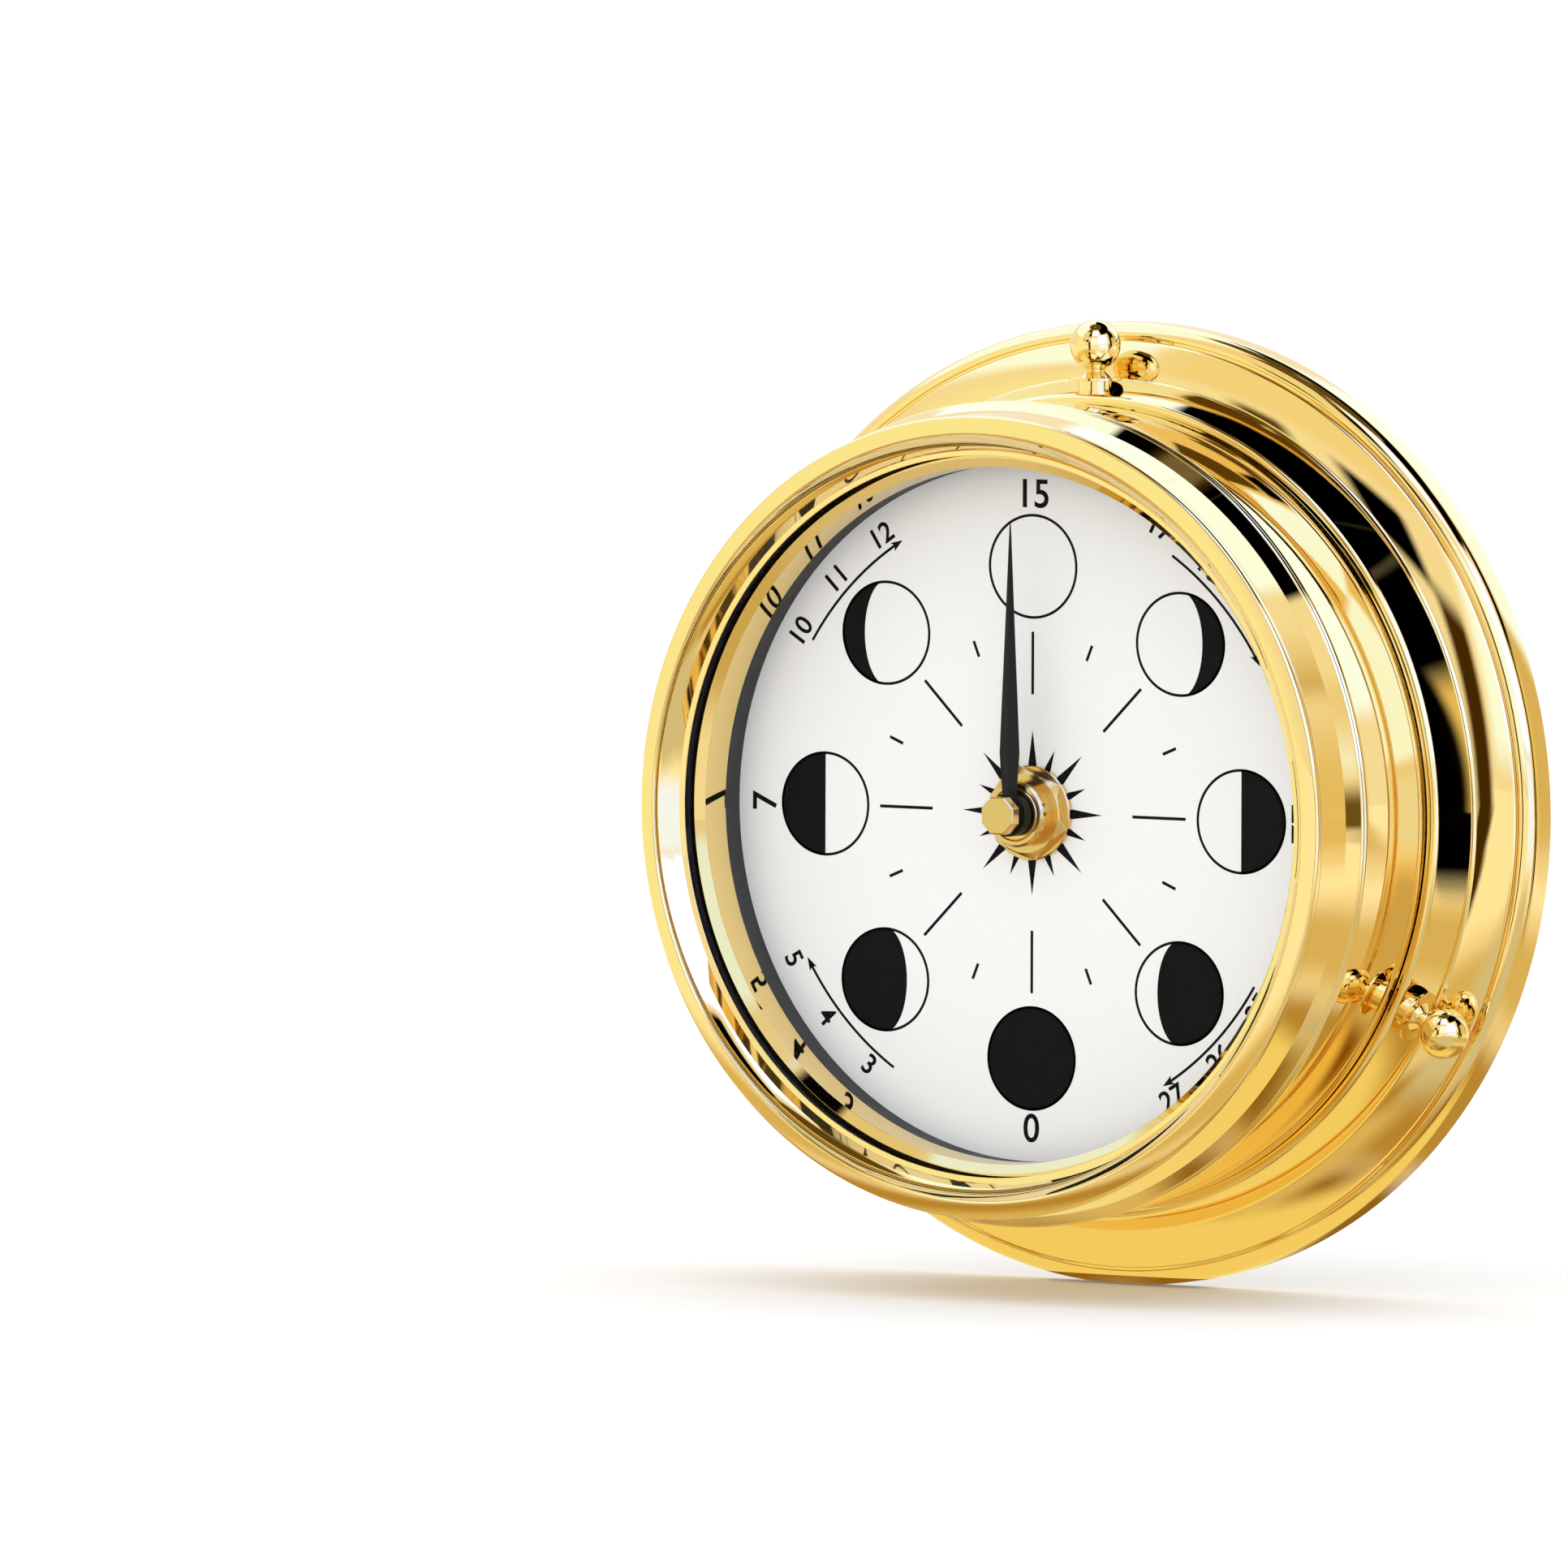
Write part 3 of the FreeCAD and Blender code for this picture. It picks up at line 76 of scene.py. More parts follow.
def make_camera():
    azimuth = math.radians(CAMERA_AZIMUTH)
    elevation = math.radians(CAMERA_ELEVATION)
    back = Vector((math.sin(azimuth) * math.cos(elevation),
                   -math.cos(azimuth) * math.cos(elevation), math.sin(elevation)))
    right = Vector((math.cos(azimuth), math.sin(azimuth), 0))
    upward = back.cross(right)
    facing = Matrix((right, upward, back)).transposed()
    middle = IMAGE_SIZE / 2
    ray = Vector(((DIAL_CENTRE_PIXEL[0] - middle) / FOCAL_PIXELS,
                  -(DIAL_CENTRE_PIXEL[1] - middle) / FOCAL_PIXELS, -1.0)).normalized()
    aim = ray.rotation_difference(Vector((0, 0, -1))).to_matrix()
    roll = Matrix.Rotation(math.radians(CAMERA_ROLL), 3, "Z")
    data = bpy.data.cameras.new("camera")
    data.sensor_width = SENSOR_WIDTH
    data.lens = SENSOR_WIDTH * FOCAL_PIXELS / IMAGE_SIZE
    data.clip_start = 0.1
    data.clip_end = 50.0
    camera = linked_object("camera", data)
    place = Vector((0, -DIAL_FRONT * MM, 0)) + back * CAMERA_DISTANCE
    camera.matrix_world = Matrix.Translation(place) @ (facing @ roll @ aim).to_4x4()
    bpy.context.scene.camera = camera


make_camera()
bpy.context.scene.view_settings.view_transform = "Standard"


# Materials. The plain ones that came with the solids go first, to free their names.
for material in list(bpy.data.materials):
    bpy.data.materials.remove(material)


def new_material(name):
    material = bpy.data.materials.new(name)
    material.use_nodes = True
    tree = material.node_tree
    return material, tree, tree.nodes["Principled BSDF"]


def add_node(tree, kind, **settings):
    node = tree.nodes.new(kind)
    for key, value in settings.items():
        setattr(node, key, value)
    return node


def object_noise(tree, scale, detail=3.0, stretch=(1, 1, 1)):
    """Noise over the object's own coordinates, in metres."""
    place = add_node(tree, "ShaderNodeTexCoord")
    fit = add_node(tree, "ShaderNodeMapping")
    fit.inputs["Scale"].default_value = stretch
    noise = add_node(tree, "ShaderNodeTexNoise")
    noise.inputs["Scale"].default_value = scale
    noise.inputs["Detail"].default_value = detail
    tree.links.new(place.outputs["Object"], fit.inputs["Vector"])
    tree.links.new(fit.outputs["Vector"], noise.inputs["Vector"])
    return noise


def blend_colours(tree, factor, first, second, socket):
    mix = add_node(tree, "ShaderNodeMix", data_type="RGBA")
    mix.inputs["A"].default_value = (*first, 1)
    mix.inputs["B"].default_value = (*second, 1)
    tree.links.new(factor, mix.inputs["Factor"])
    tree.links.new(mix.outputs["Result"], socket)


def spread(tree, value, low, high, to_low, to_high):
    """The value with one range stretched onto another."""
    node = add_node(tree, "ShaderNodeMapRange")
    limits = (("From Min", low), ("From Max", high), ("To Min", to_low), ("To Max", to_high))
    for key, number in limits:
        node.inputs[key].default_value = number
    tree.links.new(value, node.inputs["Value"])
    return node.outputs["Result"]


def add_bump(tree, shader, height, distance):
    bump = add_node(tree, "ShaderNodeBump")
    bump.inputs["Strength"].default_value = BUMP_STRENGTH
    bump.inputs["Distance"].default_value = distance
    tree.links.new(height, bump.inputs["Height"])
    tree.links.new(bump.outputs["Normal"], shader.inputs["Normal"])


def drift_roughness(tree, shader, noise, low, high):
    rough = spread(tree, noise.outputs["Fac"], NOISE_LOW, NOISE_HIGH, low, high)
    tree.links.new(rough, shader.inputs["Roughness"])


def surface(name, colour, second, scale, roughness, metallic=0.0, bump=0.0, stretch=(1, 1, 1),
            coat=0.0, gloss=0.5):
    """A finish whose colour and roughness drift a little over the surface."""
    material, tree, shader = new_material(name)
    noise = object_noise(tree, scale, stretch=stretch)
    blend_colours(tree, noise.outputs["Fac"], colour, second, shader.inputs["Base Color"])
    low, high = roughness
    drift_roughness(tree, shader, noise, low, high)
    shader.inputs["Metallic"].default_value = metallic
    shader.inputs["Specular IOR Level"].default_value = gloss
    if coat:
        shader.inputs["Coat Weight"].default_value = coat
    if bump:
        fine = object_noise(tree, scale * BUMP_FINENESS, stretch=stretch)
        add_bump(tree, shader, fine.outputs["Fac"], bump)
    return material


FINISHES = {
    "polished_brass": surface("polished_brass", (0.93, 0.69, 0.27), (0.92, 0.68, 0.26), 30.0,
                              (0.012, 0.03), metallic=1.0),
    "movement_brass": surface("movement_brass", (0.90, 0.60, 0.20), (0.86, 0.56, 0.18), 60.0,
                              (0.12, 0.2), metallic=1.0),
    "hub_brass": surface("hub_brass", (0.84, 0.57, 0.20), (0.80, 0.53, 0.18), 90.0,
                         (0.13, 0.2), metallic=1.0),
    "dial_white": surface("dial_white", (0.965, 0.965, 0.96), (0.955, 0.955, 0.95), 40.0,
                          (0.42, 0.5), gloss=0.3),
    # Near-black spacer ring at the dial's edge. It is a real part, but its black is partly painted
    # shade: a dark band standing where the dial lies in shade by the wall.
    "spacer_black": surface("spacer_black", (0.02, 0.018, 0.016), (0.03, 0.027, 0.024), 200.0,
                            (0.5, 0.62), bump=0.00003),
    "hand_black": surface("hand_black", (0.006, 0.006, 0.006), (0.009, 0.009, 0.009), 300.0,
                          (0.3, 0.4), gloss=0.2),
    "seal_rubber": surface("seal_rubber", (0.02, 0.02, 0.02), (0.035, 0.035, 0.035), 400.0,
                           (0.7, 0.85), bump=0.00005),
    "arbor_steel": surface("arbor_steel", (0.62, 0.62, 0.63), (0.55, 0.55, 0.56), 500.0,
                           (0.18, 0.28), metallic=1.0),
    "gear_nylon": surface("gear_nylon", (0.82, 0.80, 0.74), (0.78, 0.76, 0.69), 300.0,
                          (0.4, 0.5), bump=0.00002),
    "housing_black": surface("housing_black", (0.018, 0.018, 0.019), (0.026, 0.026, 0.027), 900.0,
                             (0.45, 0.6), bump=0.00004),
    "battery_wrap": surface("battery_wrap", (0.03, 0.12, 0.32), (0.035, 0.14, 0.36), 80.0,
                            (0.22, 0.3), coat=0.4),
    "contact_nickel": surface("contact_nickel", (0.68, 0.66, 0.62), (0.6, 0.58, 0.54), 300.0,
                              (0.15, 0.3), metallic=1.0),
    "board_green": surface("board_green", (0.02, 0.16, 0.06), (0.03, 0.2, 0.08), 700.0,
                           (0.3, 0.42), coat=0.3),
    "crystal_can": surface("crystal_can", (0.75, 0.75, 0.74), (0.68, 0.68, 0.67), 500.0,
                           (0.15, 0.25), metallic=1.0),
    "bobbin_white": surface("bobbin_white", (0.8, 0.8, 0.77), (0.74, 0.74, 0.7), 300.0,
                            (0.45, 0.55), bump=0.00002),
    "coil_copper": surface("coil_copper", (0.86, 0.36, 0.16), (0.75, 0.28, 0.11), 900.0,
                           (0.25, 0.4), metallic=1.0, stretch=(0.1, 0.1, 8.0), bump=0.00006),
    "stator_iron": surface("stator_iron", (0.42, 0.42, 0.43), (0.35, 0.35, 0.36), 400.0,
                           (0.3, 0.45), metallic=1.0),
    "print_black": surface("print_black", (0.004, 0.004, 0.004), (0.007, 0.007, 0.007), 500.0,
                           (0.45, 0.6), gloss=0.06),
}


def clear_glass():
    material, tree, shader = new_material("clear_glass")
    noise = object_noise(tree, 30.0)
    drift_roughness(tree, shader, noise, 0.0, 0.01)
    shader.inputs["Base Color"].default_value = (0.01, 0.012, 0.011, 1)
    shader.inputs["Alpha"].default_value = 0.04
    shader.inputs["Specular IOR Level"].default_value = 0.12
    return material


FINISHES["clear_glass"] = clear_glass()

# Every solid takes its slot's finish.
for row in frame["record"]["subparts"]:
    node = frame["nodes"][row["node"]]
    node.data.materials.clear()
    node.data.materials.append(FINISHES[row["material_slot"]])


# Turned pieces: closed outlines with every corner eased, and exact normals for clean reflections.
def arc(centre, radius, start, stop, steps):
    """Points on an arc, from one angle to the other in degrees."""
    points = []
    for number in range(steps + 1):
        angle = math.radians(start + (stop - start) * number / steps)
        points.append((centre[0] + radius * math.cos(angle),
                       centre[1] + radius * math.sin(angle), 0))
    return points


def bulge(first, last, radius, steps):
    """Points on a shallow arc between two points that swells outwards."""
    a, b = Vector(first), Vector(last)
    chord = b - a
    out = Vector((chord.y, -chord.x)).normalized()
    centre = (a + b) / 2 - out * math.sqrt(radius ** 2 - (chord.length / 2) ** 2)
    start = math.degrees(math.atan2(a.y - centre.y, a.x - centre.x))
    stop = math.degrees(math.atan2(b.y - centre.y, b.x - centre.x))
    return arc(centre, radius, start, stop, steps)


EASE_ROOM = 0.45
EASE_STEP = 15
STRAIGHT = 1


def eased(outline):
    """The outline's points and outward normals, with its sharp corners rounded a little. A corner
    that gives a third number has that for its radius."""
    corners = [(Vector(corner[:2]), corner[2] if len(corner) > 2 else EASE) for corner in outline]
    pairs = zip(corners, corners[1:] + corners[:1])
    area = sum(a[0].x * b[0].y - b[0].x * a[0].y for a, b in pairs)
    way = 1 if area > 0 else -1
    middle = sum(corner.y for corner, radius in corners) / len(corners)
    points = []
    for number, (corner, radius) in enumerate(corners):
        if corner.x < ON_AXIS:
            points.append((corner, Vector((0, 1 if corner.y > middle else -1))))
            continue
        before = corners[number - 1][0] - corner
        after = corners[(number + 1) % len(corners)][0] - corner
        room = EASE_ROOM * min(before.length, after.length)
        before.normalize()
        after.normalize()
        first = Vector((-before.y, before.x)) * way
        last = Vector((after.y, -after.x)) * way
        turn = math.atan2(first.x * last.y - first.y * last.x, first.dot(last))
        if radius == 0 or abs(turn) < math.radians(STRAIGHT):
            points.append((corner, (first + last).normalized()))
            continue
        half = (math.pi - abs(turn)) / 2
        reach = min(radius / math.tan(half), room)
        size = reach * math.tan(half)
        bulging = 1 if turn * way > 0 else -1
        centre = corner + before * reach - first * size * bulging
        steps = max(2, math.ceil(abs(math.degrees(turn)) / EASE_STEP))
        for step in range(steps + 1):
            normal = Matrix.Rotation(turn * step / steps, 2) @ first
            points.append((centre + normal * size * bulging, normal))
    return points


# Turns a piece's own upward direction to the clock's forward one.
AXIS = Matrix(((1, 0, 0, 0), (0, 0, -1, 0), (0, 1, 0, 0), (0, 0, 0, 1)))


def mend_mesh(mesh, merge=False):
    """Faces outwards, and with merge also joins points that lie on each other."""
    work = bmesh.new()
    work.from_mesh(mesh)
    if merge:
        bmesh.ops.remove_doubles(work, verts=work.verts, dist=MERGE_DISTANCE)
    bmesh.ops.recalc_face_normals(work, faces=work.faces)
    work.to_mesh(mesh)
    work.free()


def mesh_object(name, vertices, faces, normals=None):
    mesh = bpy.data.meshes.new(name)
    mesh.from_pydata(vertices, [], faces)
    mend_mesh(mesh)
    if normals:
        mesh.polygons.foreach_set("use_smooth", [True] * len(mesh.polygons))
        mesh.normals_split_custom_set_from_vertices(normals)
    return linked_object(name, mesh)


def turned(name, outline, body, slot, replaces=(), matrix=AXIS, turns=TURNS, finish=None):
    """A piece turned from an outline about its axis, finished, and riding on a body."""
    profile = eased(outline)
    spin = matrix.to_3x3()
    vertices, normals, rows = [], [], []
    for point, normal in profile:
        if point.x < ON_AXIS:
            rows.append([len(vertices)] * turns)
            vertices.append(matrix @ Vector((0, 0, point.y)))
            normals.append(spin @ Vector((0, 0, normal.y)))
            continue
        rows.append(list(range(len(vertices), len(vertices) + turns)))
        for number in range(turns):
            angle = 2 * math.pi * number / turns
            c, s = math.cos(angle), math.sin(angle)
            vertices.append(matrix @ Vector((point.x * c, point.x * s, point.y)))
            normals.append(spin @ Vector((normal.x * c, normal.x * s, normal.y)))
    faces = []
    for number in range(len(rows)):
        near, far = rows[number - 1], rows[number]
        if len(set(near)) == 1 and len(set(far)) == 1:
            continue
        for turn in range(turns):
            following = (turn + 1) % turns
            ring = [near[turn], near[following], far[following], far[turn]]
            face = [v for k, v in enumerate(ring) if v not in ring[:k]]
            faces.append(face)
    vertices = [v * MM for v in vertices]
    piece = mesh_object(name, vertices, faces, normals)
    finish_piece(piece, body, slot, replaces, finish)


def finish_piece(piece, body, slot, replaces=(), finish=None):
    piece.data.materials.clear()
    piece.data.materials.append(FINISHES[finish or slot])
    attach(piece, body)
    if replaces:
        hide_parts(*replaces)


FLANGE = [(52.38, 0), (63.1, 0), (63.5, 0.4), *arc((61.5, 3.2), 2.0, 0, 90, 12),
          (61.5, 4.9), (61.1, 4.9), *bulge((61.1, 5.3), (56.0, 7.2), 26.0, 16),
          (56.0, 8.0), *arc((53.6, 13.1), 0.8, 17, 90, 8), (52.88, 13.9), (52.38, 13.4)]
DRUM = [(51.9, 2.05), (52.3, 2.45), *arc((52.3, 14.55), 0.45, -90, 0, 6),
        *bulge((52.95, 14.55), (54.1, 31.2), 400.0, 16), *arc((53.6, 31.2), 0.5, 0, 90, 6),
        (51.2, 31.7), (51.2, 33.7), (51.0, 33.9), (47.6, 33.9), (47.6, 25.7), (43.5, 25.7),
        (43.5, 23.6), (50.0, 23.6), (50.0, 2.05)]
BEZEL = [(53.9, 31.75), (53.9, 31.85), (52.9, 34.0), (52.3, 38.7), (52.0, 38.7), (52.0, 39.1),
         (52.5, 39.1), *arc((52.0, 39.7), 0.5, 0, 90, 8), *arc((50.4, 40.3), 0.4, 90, 180, 8),
         (48.5, 38.8), (47.9, 37.75), (47.2, 37.6), (47.2, 37.42), (50.7, 37.42), (50.7, 34.35),
         (51.28, 34.35), (51.28, 31.75)]
INNER_RING = [(47.4, 30.1), (47.4, 35.85), (46.8, 35.85), (45.6, 35.0), (45.6, 30.1)]

turned("flange_turned", FLANGE, "base", "polished_brass", ["base_flange"])
turned("drum_turned", DRUM, "case", "polished_brass", ["case_drum"])
turned("bezel_turned", BEZEL, "bezel", "polished_brass", ["bezel_ring"])
turned("inner_ring_turned", INNER_RING, "case", "polished_brass", ["inner_ring"])


# The flange's floor, a flat ring with three wall screw holes.
FLOOR_BORE = 42.0
FLOOR_EDGE = 52.38
FLOOR_THICKNESS = 2.0
WALL_HOLE_CIRCLE = 47.19
WALL_HOLE = 2.1
WALL_HOLE_PLACES = (30, 150, 270)
WALL_HOLE_STEPS = 32


def curve_mesh(name, data):
    """The mesh of a curve or text, which is then removed."""
    draft = linked_object(name + "_draft", data)
    bpy.context.view_layer.update()
    mesh = bpy.data.meshes.new_from_object(draft)
    bpy.data.objects.remove(draft)
    bpy.data.curves.remove(data)
    mesh.name = name
    return mesh


def flat_shape(name, loops, low, high, body, slot, finish=None):
    """A flat piece of closed (across, up) loops, holes among them, from low to high forward."""
    data = bpy.data.curves.new(name, "CURVE")
    data.dimensions = "2D"
    data.fill_mode = "BOTH"
    data.extrude = (high - low) / 2 * MM
    for loop in loops:
        spline = data.splines.new("POLY")
        spline.points.add(len(loop) - 1)
        for point, (across, up) in zip(spline.points, loop):
            point.co = (across * MM, up * MM, 0, 1)
        spline.use_cyclic_u = True
    mesh = curve_mesh(name, data)
    mesh.transform(Matrix.Translation((0, -(low + high) / 2 * MM, 0)) @ AXIS)
    mend_mesh(mesh, merge=True)
    mesh.polygons.foreach_set("use_smooth", [False] * len(mesh.polygons))
    finish_piece(linked_object(name, mesh), body, slot, finish=finish)


def circle(across, up, radius, steps=96):
    return [(across + radius * math.cos(2 * math.pi * k / steps),
             up + radius * math.sin(2 * math.pi * k / steps)) for k in range(steps)]


floor_loops = [circle(0, 0, FLOOR_EDGE, TURNS), circle(0, 0, FLOOR_BORE, TURNS)]
for degrees in WALL_HOLE_PLACES:
    angle = math.radians(degrees)
    floor_loops.append(circle(WALL_HOLE_CIRCLE * math.cos(angle),
                              WALL_HOLE_CIRCLE * math.sin(angle), WALL_HOLE, WALL_HOLE_STEPS))
flat_shape("flange_floor", floor_loops, 0, FLOOR_THICKNESS, "base", "polished_brass")

# Ball-headed screws with their washers, turned along the case's radii.
SCREW_FORWARD = 11.5
SCREW_NECK = 1.25
SCREW_PLACES = (("top", 90), ("right", -27), ("left", 207))
SCREW_TURNS = 64
BALL = (0, 60.71)
BALL_RADIUS = 3.35
BALL_FOOT = -math.degrees(math.acos(SCREW_NECK / BALL_RADIUS))
SCREW_SHAFT = [(0, 52.4), (1.2, 52.4), (1.5, 52.7), (1.5, 56.1), (3.55, 56.1), (3.55, 56.45),
               (2.1, 56.45), (SCREW_NECK, 57.3)]
SCREW = SCREW_SHAFT + arc(BALL, BALL_RADIUS, BALL_FOOT, 84, 28) + [(0, 64.06)]
WASHER = [(2.2, 54.2), (2.2, 56.08), (1.6, 56.08), (1.6, 54.2)]
for place, degrees in SCREW_PLACES:
    angle = math.radians(degrees)
    outward = Vector((math.cos(angle), 0, math.sin(angle)))
    side = Vector((0, 1, 0))
    facing = Matrix((side, outward.cross(side), outward)).transposed().to_4x4()
    radial = Matrix.Translation((0, -SCREW_FORWARD, 0)) @ facing
    turned("ball_screw_%s_turned" % place, SCREW, "screw_" + place, "polished_brass",
           ["ball_screw_" + place], matrix=radial, turns=SCREW_TURNS)
    turned("screw_washer_%s_turned" % place, WASHER, "screw_slide_" + place, "polished_brass",
           ["screw_washer_" + place], matrix=radial, turns=SCREW_TURNS)


def around(radius, angle, forward):
    """A point in metres at a radius and angle round the clock's axis."""
    return Vector((radius * math.cos(angle), -forward, radius * math.sin(angle))) * MM


# Nut under the bush collar: a round seat with a chamfered hexagon on it.
def hexagon_nut():
    seat, corner, top, bore = 6.2, 6.2, 5.2, 3.53
    flat = corner * math.cos(math.pi / 6)
    turns, first = 144, 40.0
    low, step, high = DIAL_FRONT, DIAL_FRONT + 0.8, DIAL_FRONT + 2.0
    seat_edge, seat_round, chamfer_height, crease = 0.1, 0.15, 0.75, 14
    foot_in, foot_rise = 0.05, 0.02
    slope = (corner - top) / chamfer_height
    levels = []
    for number in range(turns):
        angle = 2 * math.pi * number / turns
        inside = (math.degrees(angle) - first) % 60 - 30
        side = flat / math.cos(math.radians(inside))
        rise = high - (side - top) / slope
        levels.append([(bore, low), (seat - seat_edge, low), (seat, low + seat_edge),
                       (seat, step - seat_round), (seat - seat_round, step),
                       (side - foot_in, step), (side, step + foot_rise), (side, rise),
                       (top, high), (bore, high)])
    vertices, faces = [], []
    for number, level in enumerate(levels):
        angle = 2 * math.pi * number / turns
        for radius, forward in level:
            vertices.append(around(radius, angle, forward))
    count = len(levels[0])
    for number in range(turns):
        following = (number + 1) % turns
        for k in range(count):
            after = (k + 1) % count
            faces.append([number * count + k, number * count + after,
                          following * count + after, following * count + k])
    nut = mesh_object("dial_nut_cut", vertices, faces)
    nut.data.polygons.foreach_set("use_smooth", [True] * len(nut.data.polygons))
    nut.data.set_sharp_from_angle(angle=math.radians(crease))
    finish_piece(nut, "case", "movement_brass", ["dial_nut"], finish="hub_brass")


hexagon_nut()

HUB_TURNS = 96
BUSH_COLLAR = [(4.35, 28.5), (4.35, 30.6), (4.05, 30.9), (3.53, 30.9), (3.53, 28.5)]
turned("bush_collar_turned", BUSH_COLLAR, "case", "movement_brass", ["bush_collar"],
       turns=HUB_TURNS, finish="hub_brass")


# Cap nut: an eight-sided head on a round neck.
def cap_nut():
    sides, first, bevel = 8, 22.5, 0.05
    neck, head, neck_turns = 1.9, 2.65, 64
    low, seat, high, edge, overlap = 32.7, 33.4, 35.15, 0.2, 0.1
    vertices, faces = [], []
    levels = [(head - edge, seat), (head, seat + edge), (head, high - edge), (head - edge, high)]
    for radius, forward in levels:
        for number in range(sides):
            angle = math.radians(first + 360 / sides * number)
            vertices.append(around(radius, angle, forward))
    for level in range(len(levels) - 1):
        for number in range(sides):
            following = (number + 1) % sides
            near, far = level * sides, (level + 1) * sides
            faces.append([near + number, near + following, far + following, far + number])
    last = (len(levels) - 1) * sides
    faces.append(list(range(sides)))
    faces.append(list(range(last, last + sides)))
    cap = mesh_object("cap_head_cut", vertices, faces)
    soften = cap.modifiers.new("edges", "BEVEL")
    soften.width = bevel * MM
    soften.segments = 2
    soften.limit_method = "NONE"
    soften.harden_normals = True
    finish_piece(cap, "hand", "movement_brass", ["hand_cap_nut"], finish="hub_brass")
    outline = [(0, low), (neck, low), (neck, seat + overlap), (0, seat + overlap)]
    turned("cap_neck_turned", outline, "hand", "movement_brass", turns=neck_turns)


cap_nut()


# Hand: a black hub with a long blade that has a low ridge down its middle.
def moon_hand():
    hub = [(1.53, 31.2), (2.85, 31.2), (2.85, 32.7), (1.53, 32.7)]
    turned("hand_hub_turned", hub, "hand", "hand_black", ["moon_hand"], turns=HUB_TURNS)
    low, edge, ridge, full_ridge_half = 32.0, 32.16, 32.4, 0.8
    stations = [(0.0, 0.8), (4.0, 1.17), (8.0, 1.5), (14.0, 1.22), (22.0, 0.82), (30.0, 0.44),
                (37.0, 0.11), (38.0, 0.05)]
    vertices, faces = [], []
    for up, half in stations:
        top = edge + (ridge - edge) * min(1.0, half / full_ridge_half)
        for across, forward in ((-half, low), (-half, edge), (0, top), (half, edge), (half, low)):
            vertices.append(Vector((across, -forward, up)) * MM)
    count = len(vertices) // len(stations)
    for row in range(len(stations) - 1):
        for k in range(count):
            after = (k + 1) % count
            near, far = row * count, (row + 1) * count
            faces.append([near + k, near + after, far + after, far + k])
    last = (len(stations) - 1) * count
    faces.append(list(range(count)))
    faces.append([last + k for k in range(count)])
    blade = mesh_object("hand_blade", vertices, faces)
    finish_piece(blade, "hand", "hand_black")


moon_hand()


# Dial print, a thin raised film of ink.
INK_LOW = DIAL_FRONT
INK_HIGH = DIAL_FRONT + 0.02
MOON_CIRCLE = 32.26
MOON_RADIUS = 6.87
OUTLINE = 0.36
TERMINATOR = 0.49


def ink(name, loops):
    flat_shape(name, loops, INK_LOW, INK_HIGH, "case", "dial_white", finish="print_black")


def half_arc(width, steps=48):
    """Points from the bottom of a moon to its top, squeezed to this share of its radius."""
    points = []
    for number in range(steps + 1):
        angle = math.radians(-90 + 180 * number / steps)
        points.append((width * MOON_RADIUS * math.cos(angle), MOON_RADIUS * math.sin(angle)))
    return points


# Each moon: place in degrees clockwise from the top, and the dark part's left and right limits
# as a share of the radius, or None for the full moon.
MOONS = [(0, None), (45, (TERMINATOR, 1)), (90, (0, 1)), (135, (-TERMINATOR, 1)),
         (180, (-1, 1)), (225, (-1, TERMINATOR)), (270, (-1, 0)), (315, (-1, -TERMINATOR))]
for degrees, dark in MOONS:
    angle = math.radians(degrees)
    across, up = MOON_CIRCLE * math.sin(angle), MOON_CIRCLE * math.cos(angle)
    ink("moon_outline_%03d" % degrees, [circle(across, up, MOON_RADIUS),
                                        circle(across, up, MOON_RADIUS - OUTLINE)])
    if dark:
        right = half_arc(dark[1])
        left = half_arc(dark[0])
        loop = right + left[::-1][1:-1]
        ink("moon_dark_%03d" % degrees, [[(across + x, up + y) for x, y in loop]])


def bar(degrees, inner, outer, width):
    """A radial bar, in degrees clockwise from the top."""
    angle = math.radians(degrees)
    out = Vector((math.sin(angle), math.cos(angle)))
    side = Vector((out.y, -out.x)) * (width / 2)
    return [tuple(out * inner - side), tuple(out * inner + side), tuple(out * outer + side),
            tuple(out * outer - side)]


LONG_TICK = (15.5, 23.7, 0.4)
SHORT_TICK = (21.8, 24.0, 0.4)
ink("dial_ticks_long", [bar(45 * k, *LONG_TICK) for k in range(8)])
ink("dial_ticks_short", [bar(45 * k + 22.5, *SHORT_TICK) for k in range(8)])

# Rosette of long and short spikes round the nut, each with its tip's radius and half its width.
SPIKE_COUNT = 16
SPIKE_FOOT = 5.8
SPIKES = ((10.8, 0.7), (8.9, 0.55))
spikes = []
for number in range(SPIKE_COUNT):
    tip, half = SPIKES[number % 2]
    angle = math.radians(360 / SPIKE_COUNT * number)
    out = Vector((math.sin(angle), math.cos(angle)))
    side = Vector((out.y, -out.x))
    spikes.append([tuple(out * SPIKE_FOOT - side * half), tuple(out * tip),
                   tuple(out * SPIKE_FOOT + side * half)])
ink("dial_rosette", spikes)


# Arc arrows that run clockwise outside the diagonal moons.
ARROW_RADIUS = 40.5
ARROW_WIDTH = 0.36
ARROW_SPANS = ((32, 58), (122, 148), (212, 238), (302, 328))
HEAD_LEAD = 0.6
HEAD_REACH = 0.9
HEAD_HALF = 0.62
HEAD_NOTCH = 0.5


def arc_band(start, stop, radius, width, steps=40):
    outer, inner = [], []
    for number in range(steps + 1):
        angle = math.radians(start + (stop - start) * number / steps)
        out = Vector((math.sin(angle), math.cos(angle)))
        outer.append(tuple(out * (radius + width / 2)))
        inner.append(tuple(out * (radius - width / 2)))
    return outer + inner[::-1]


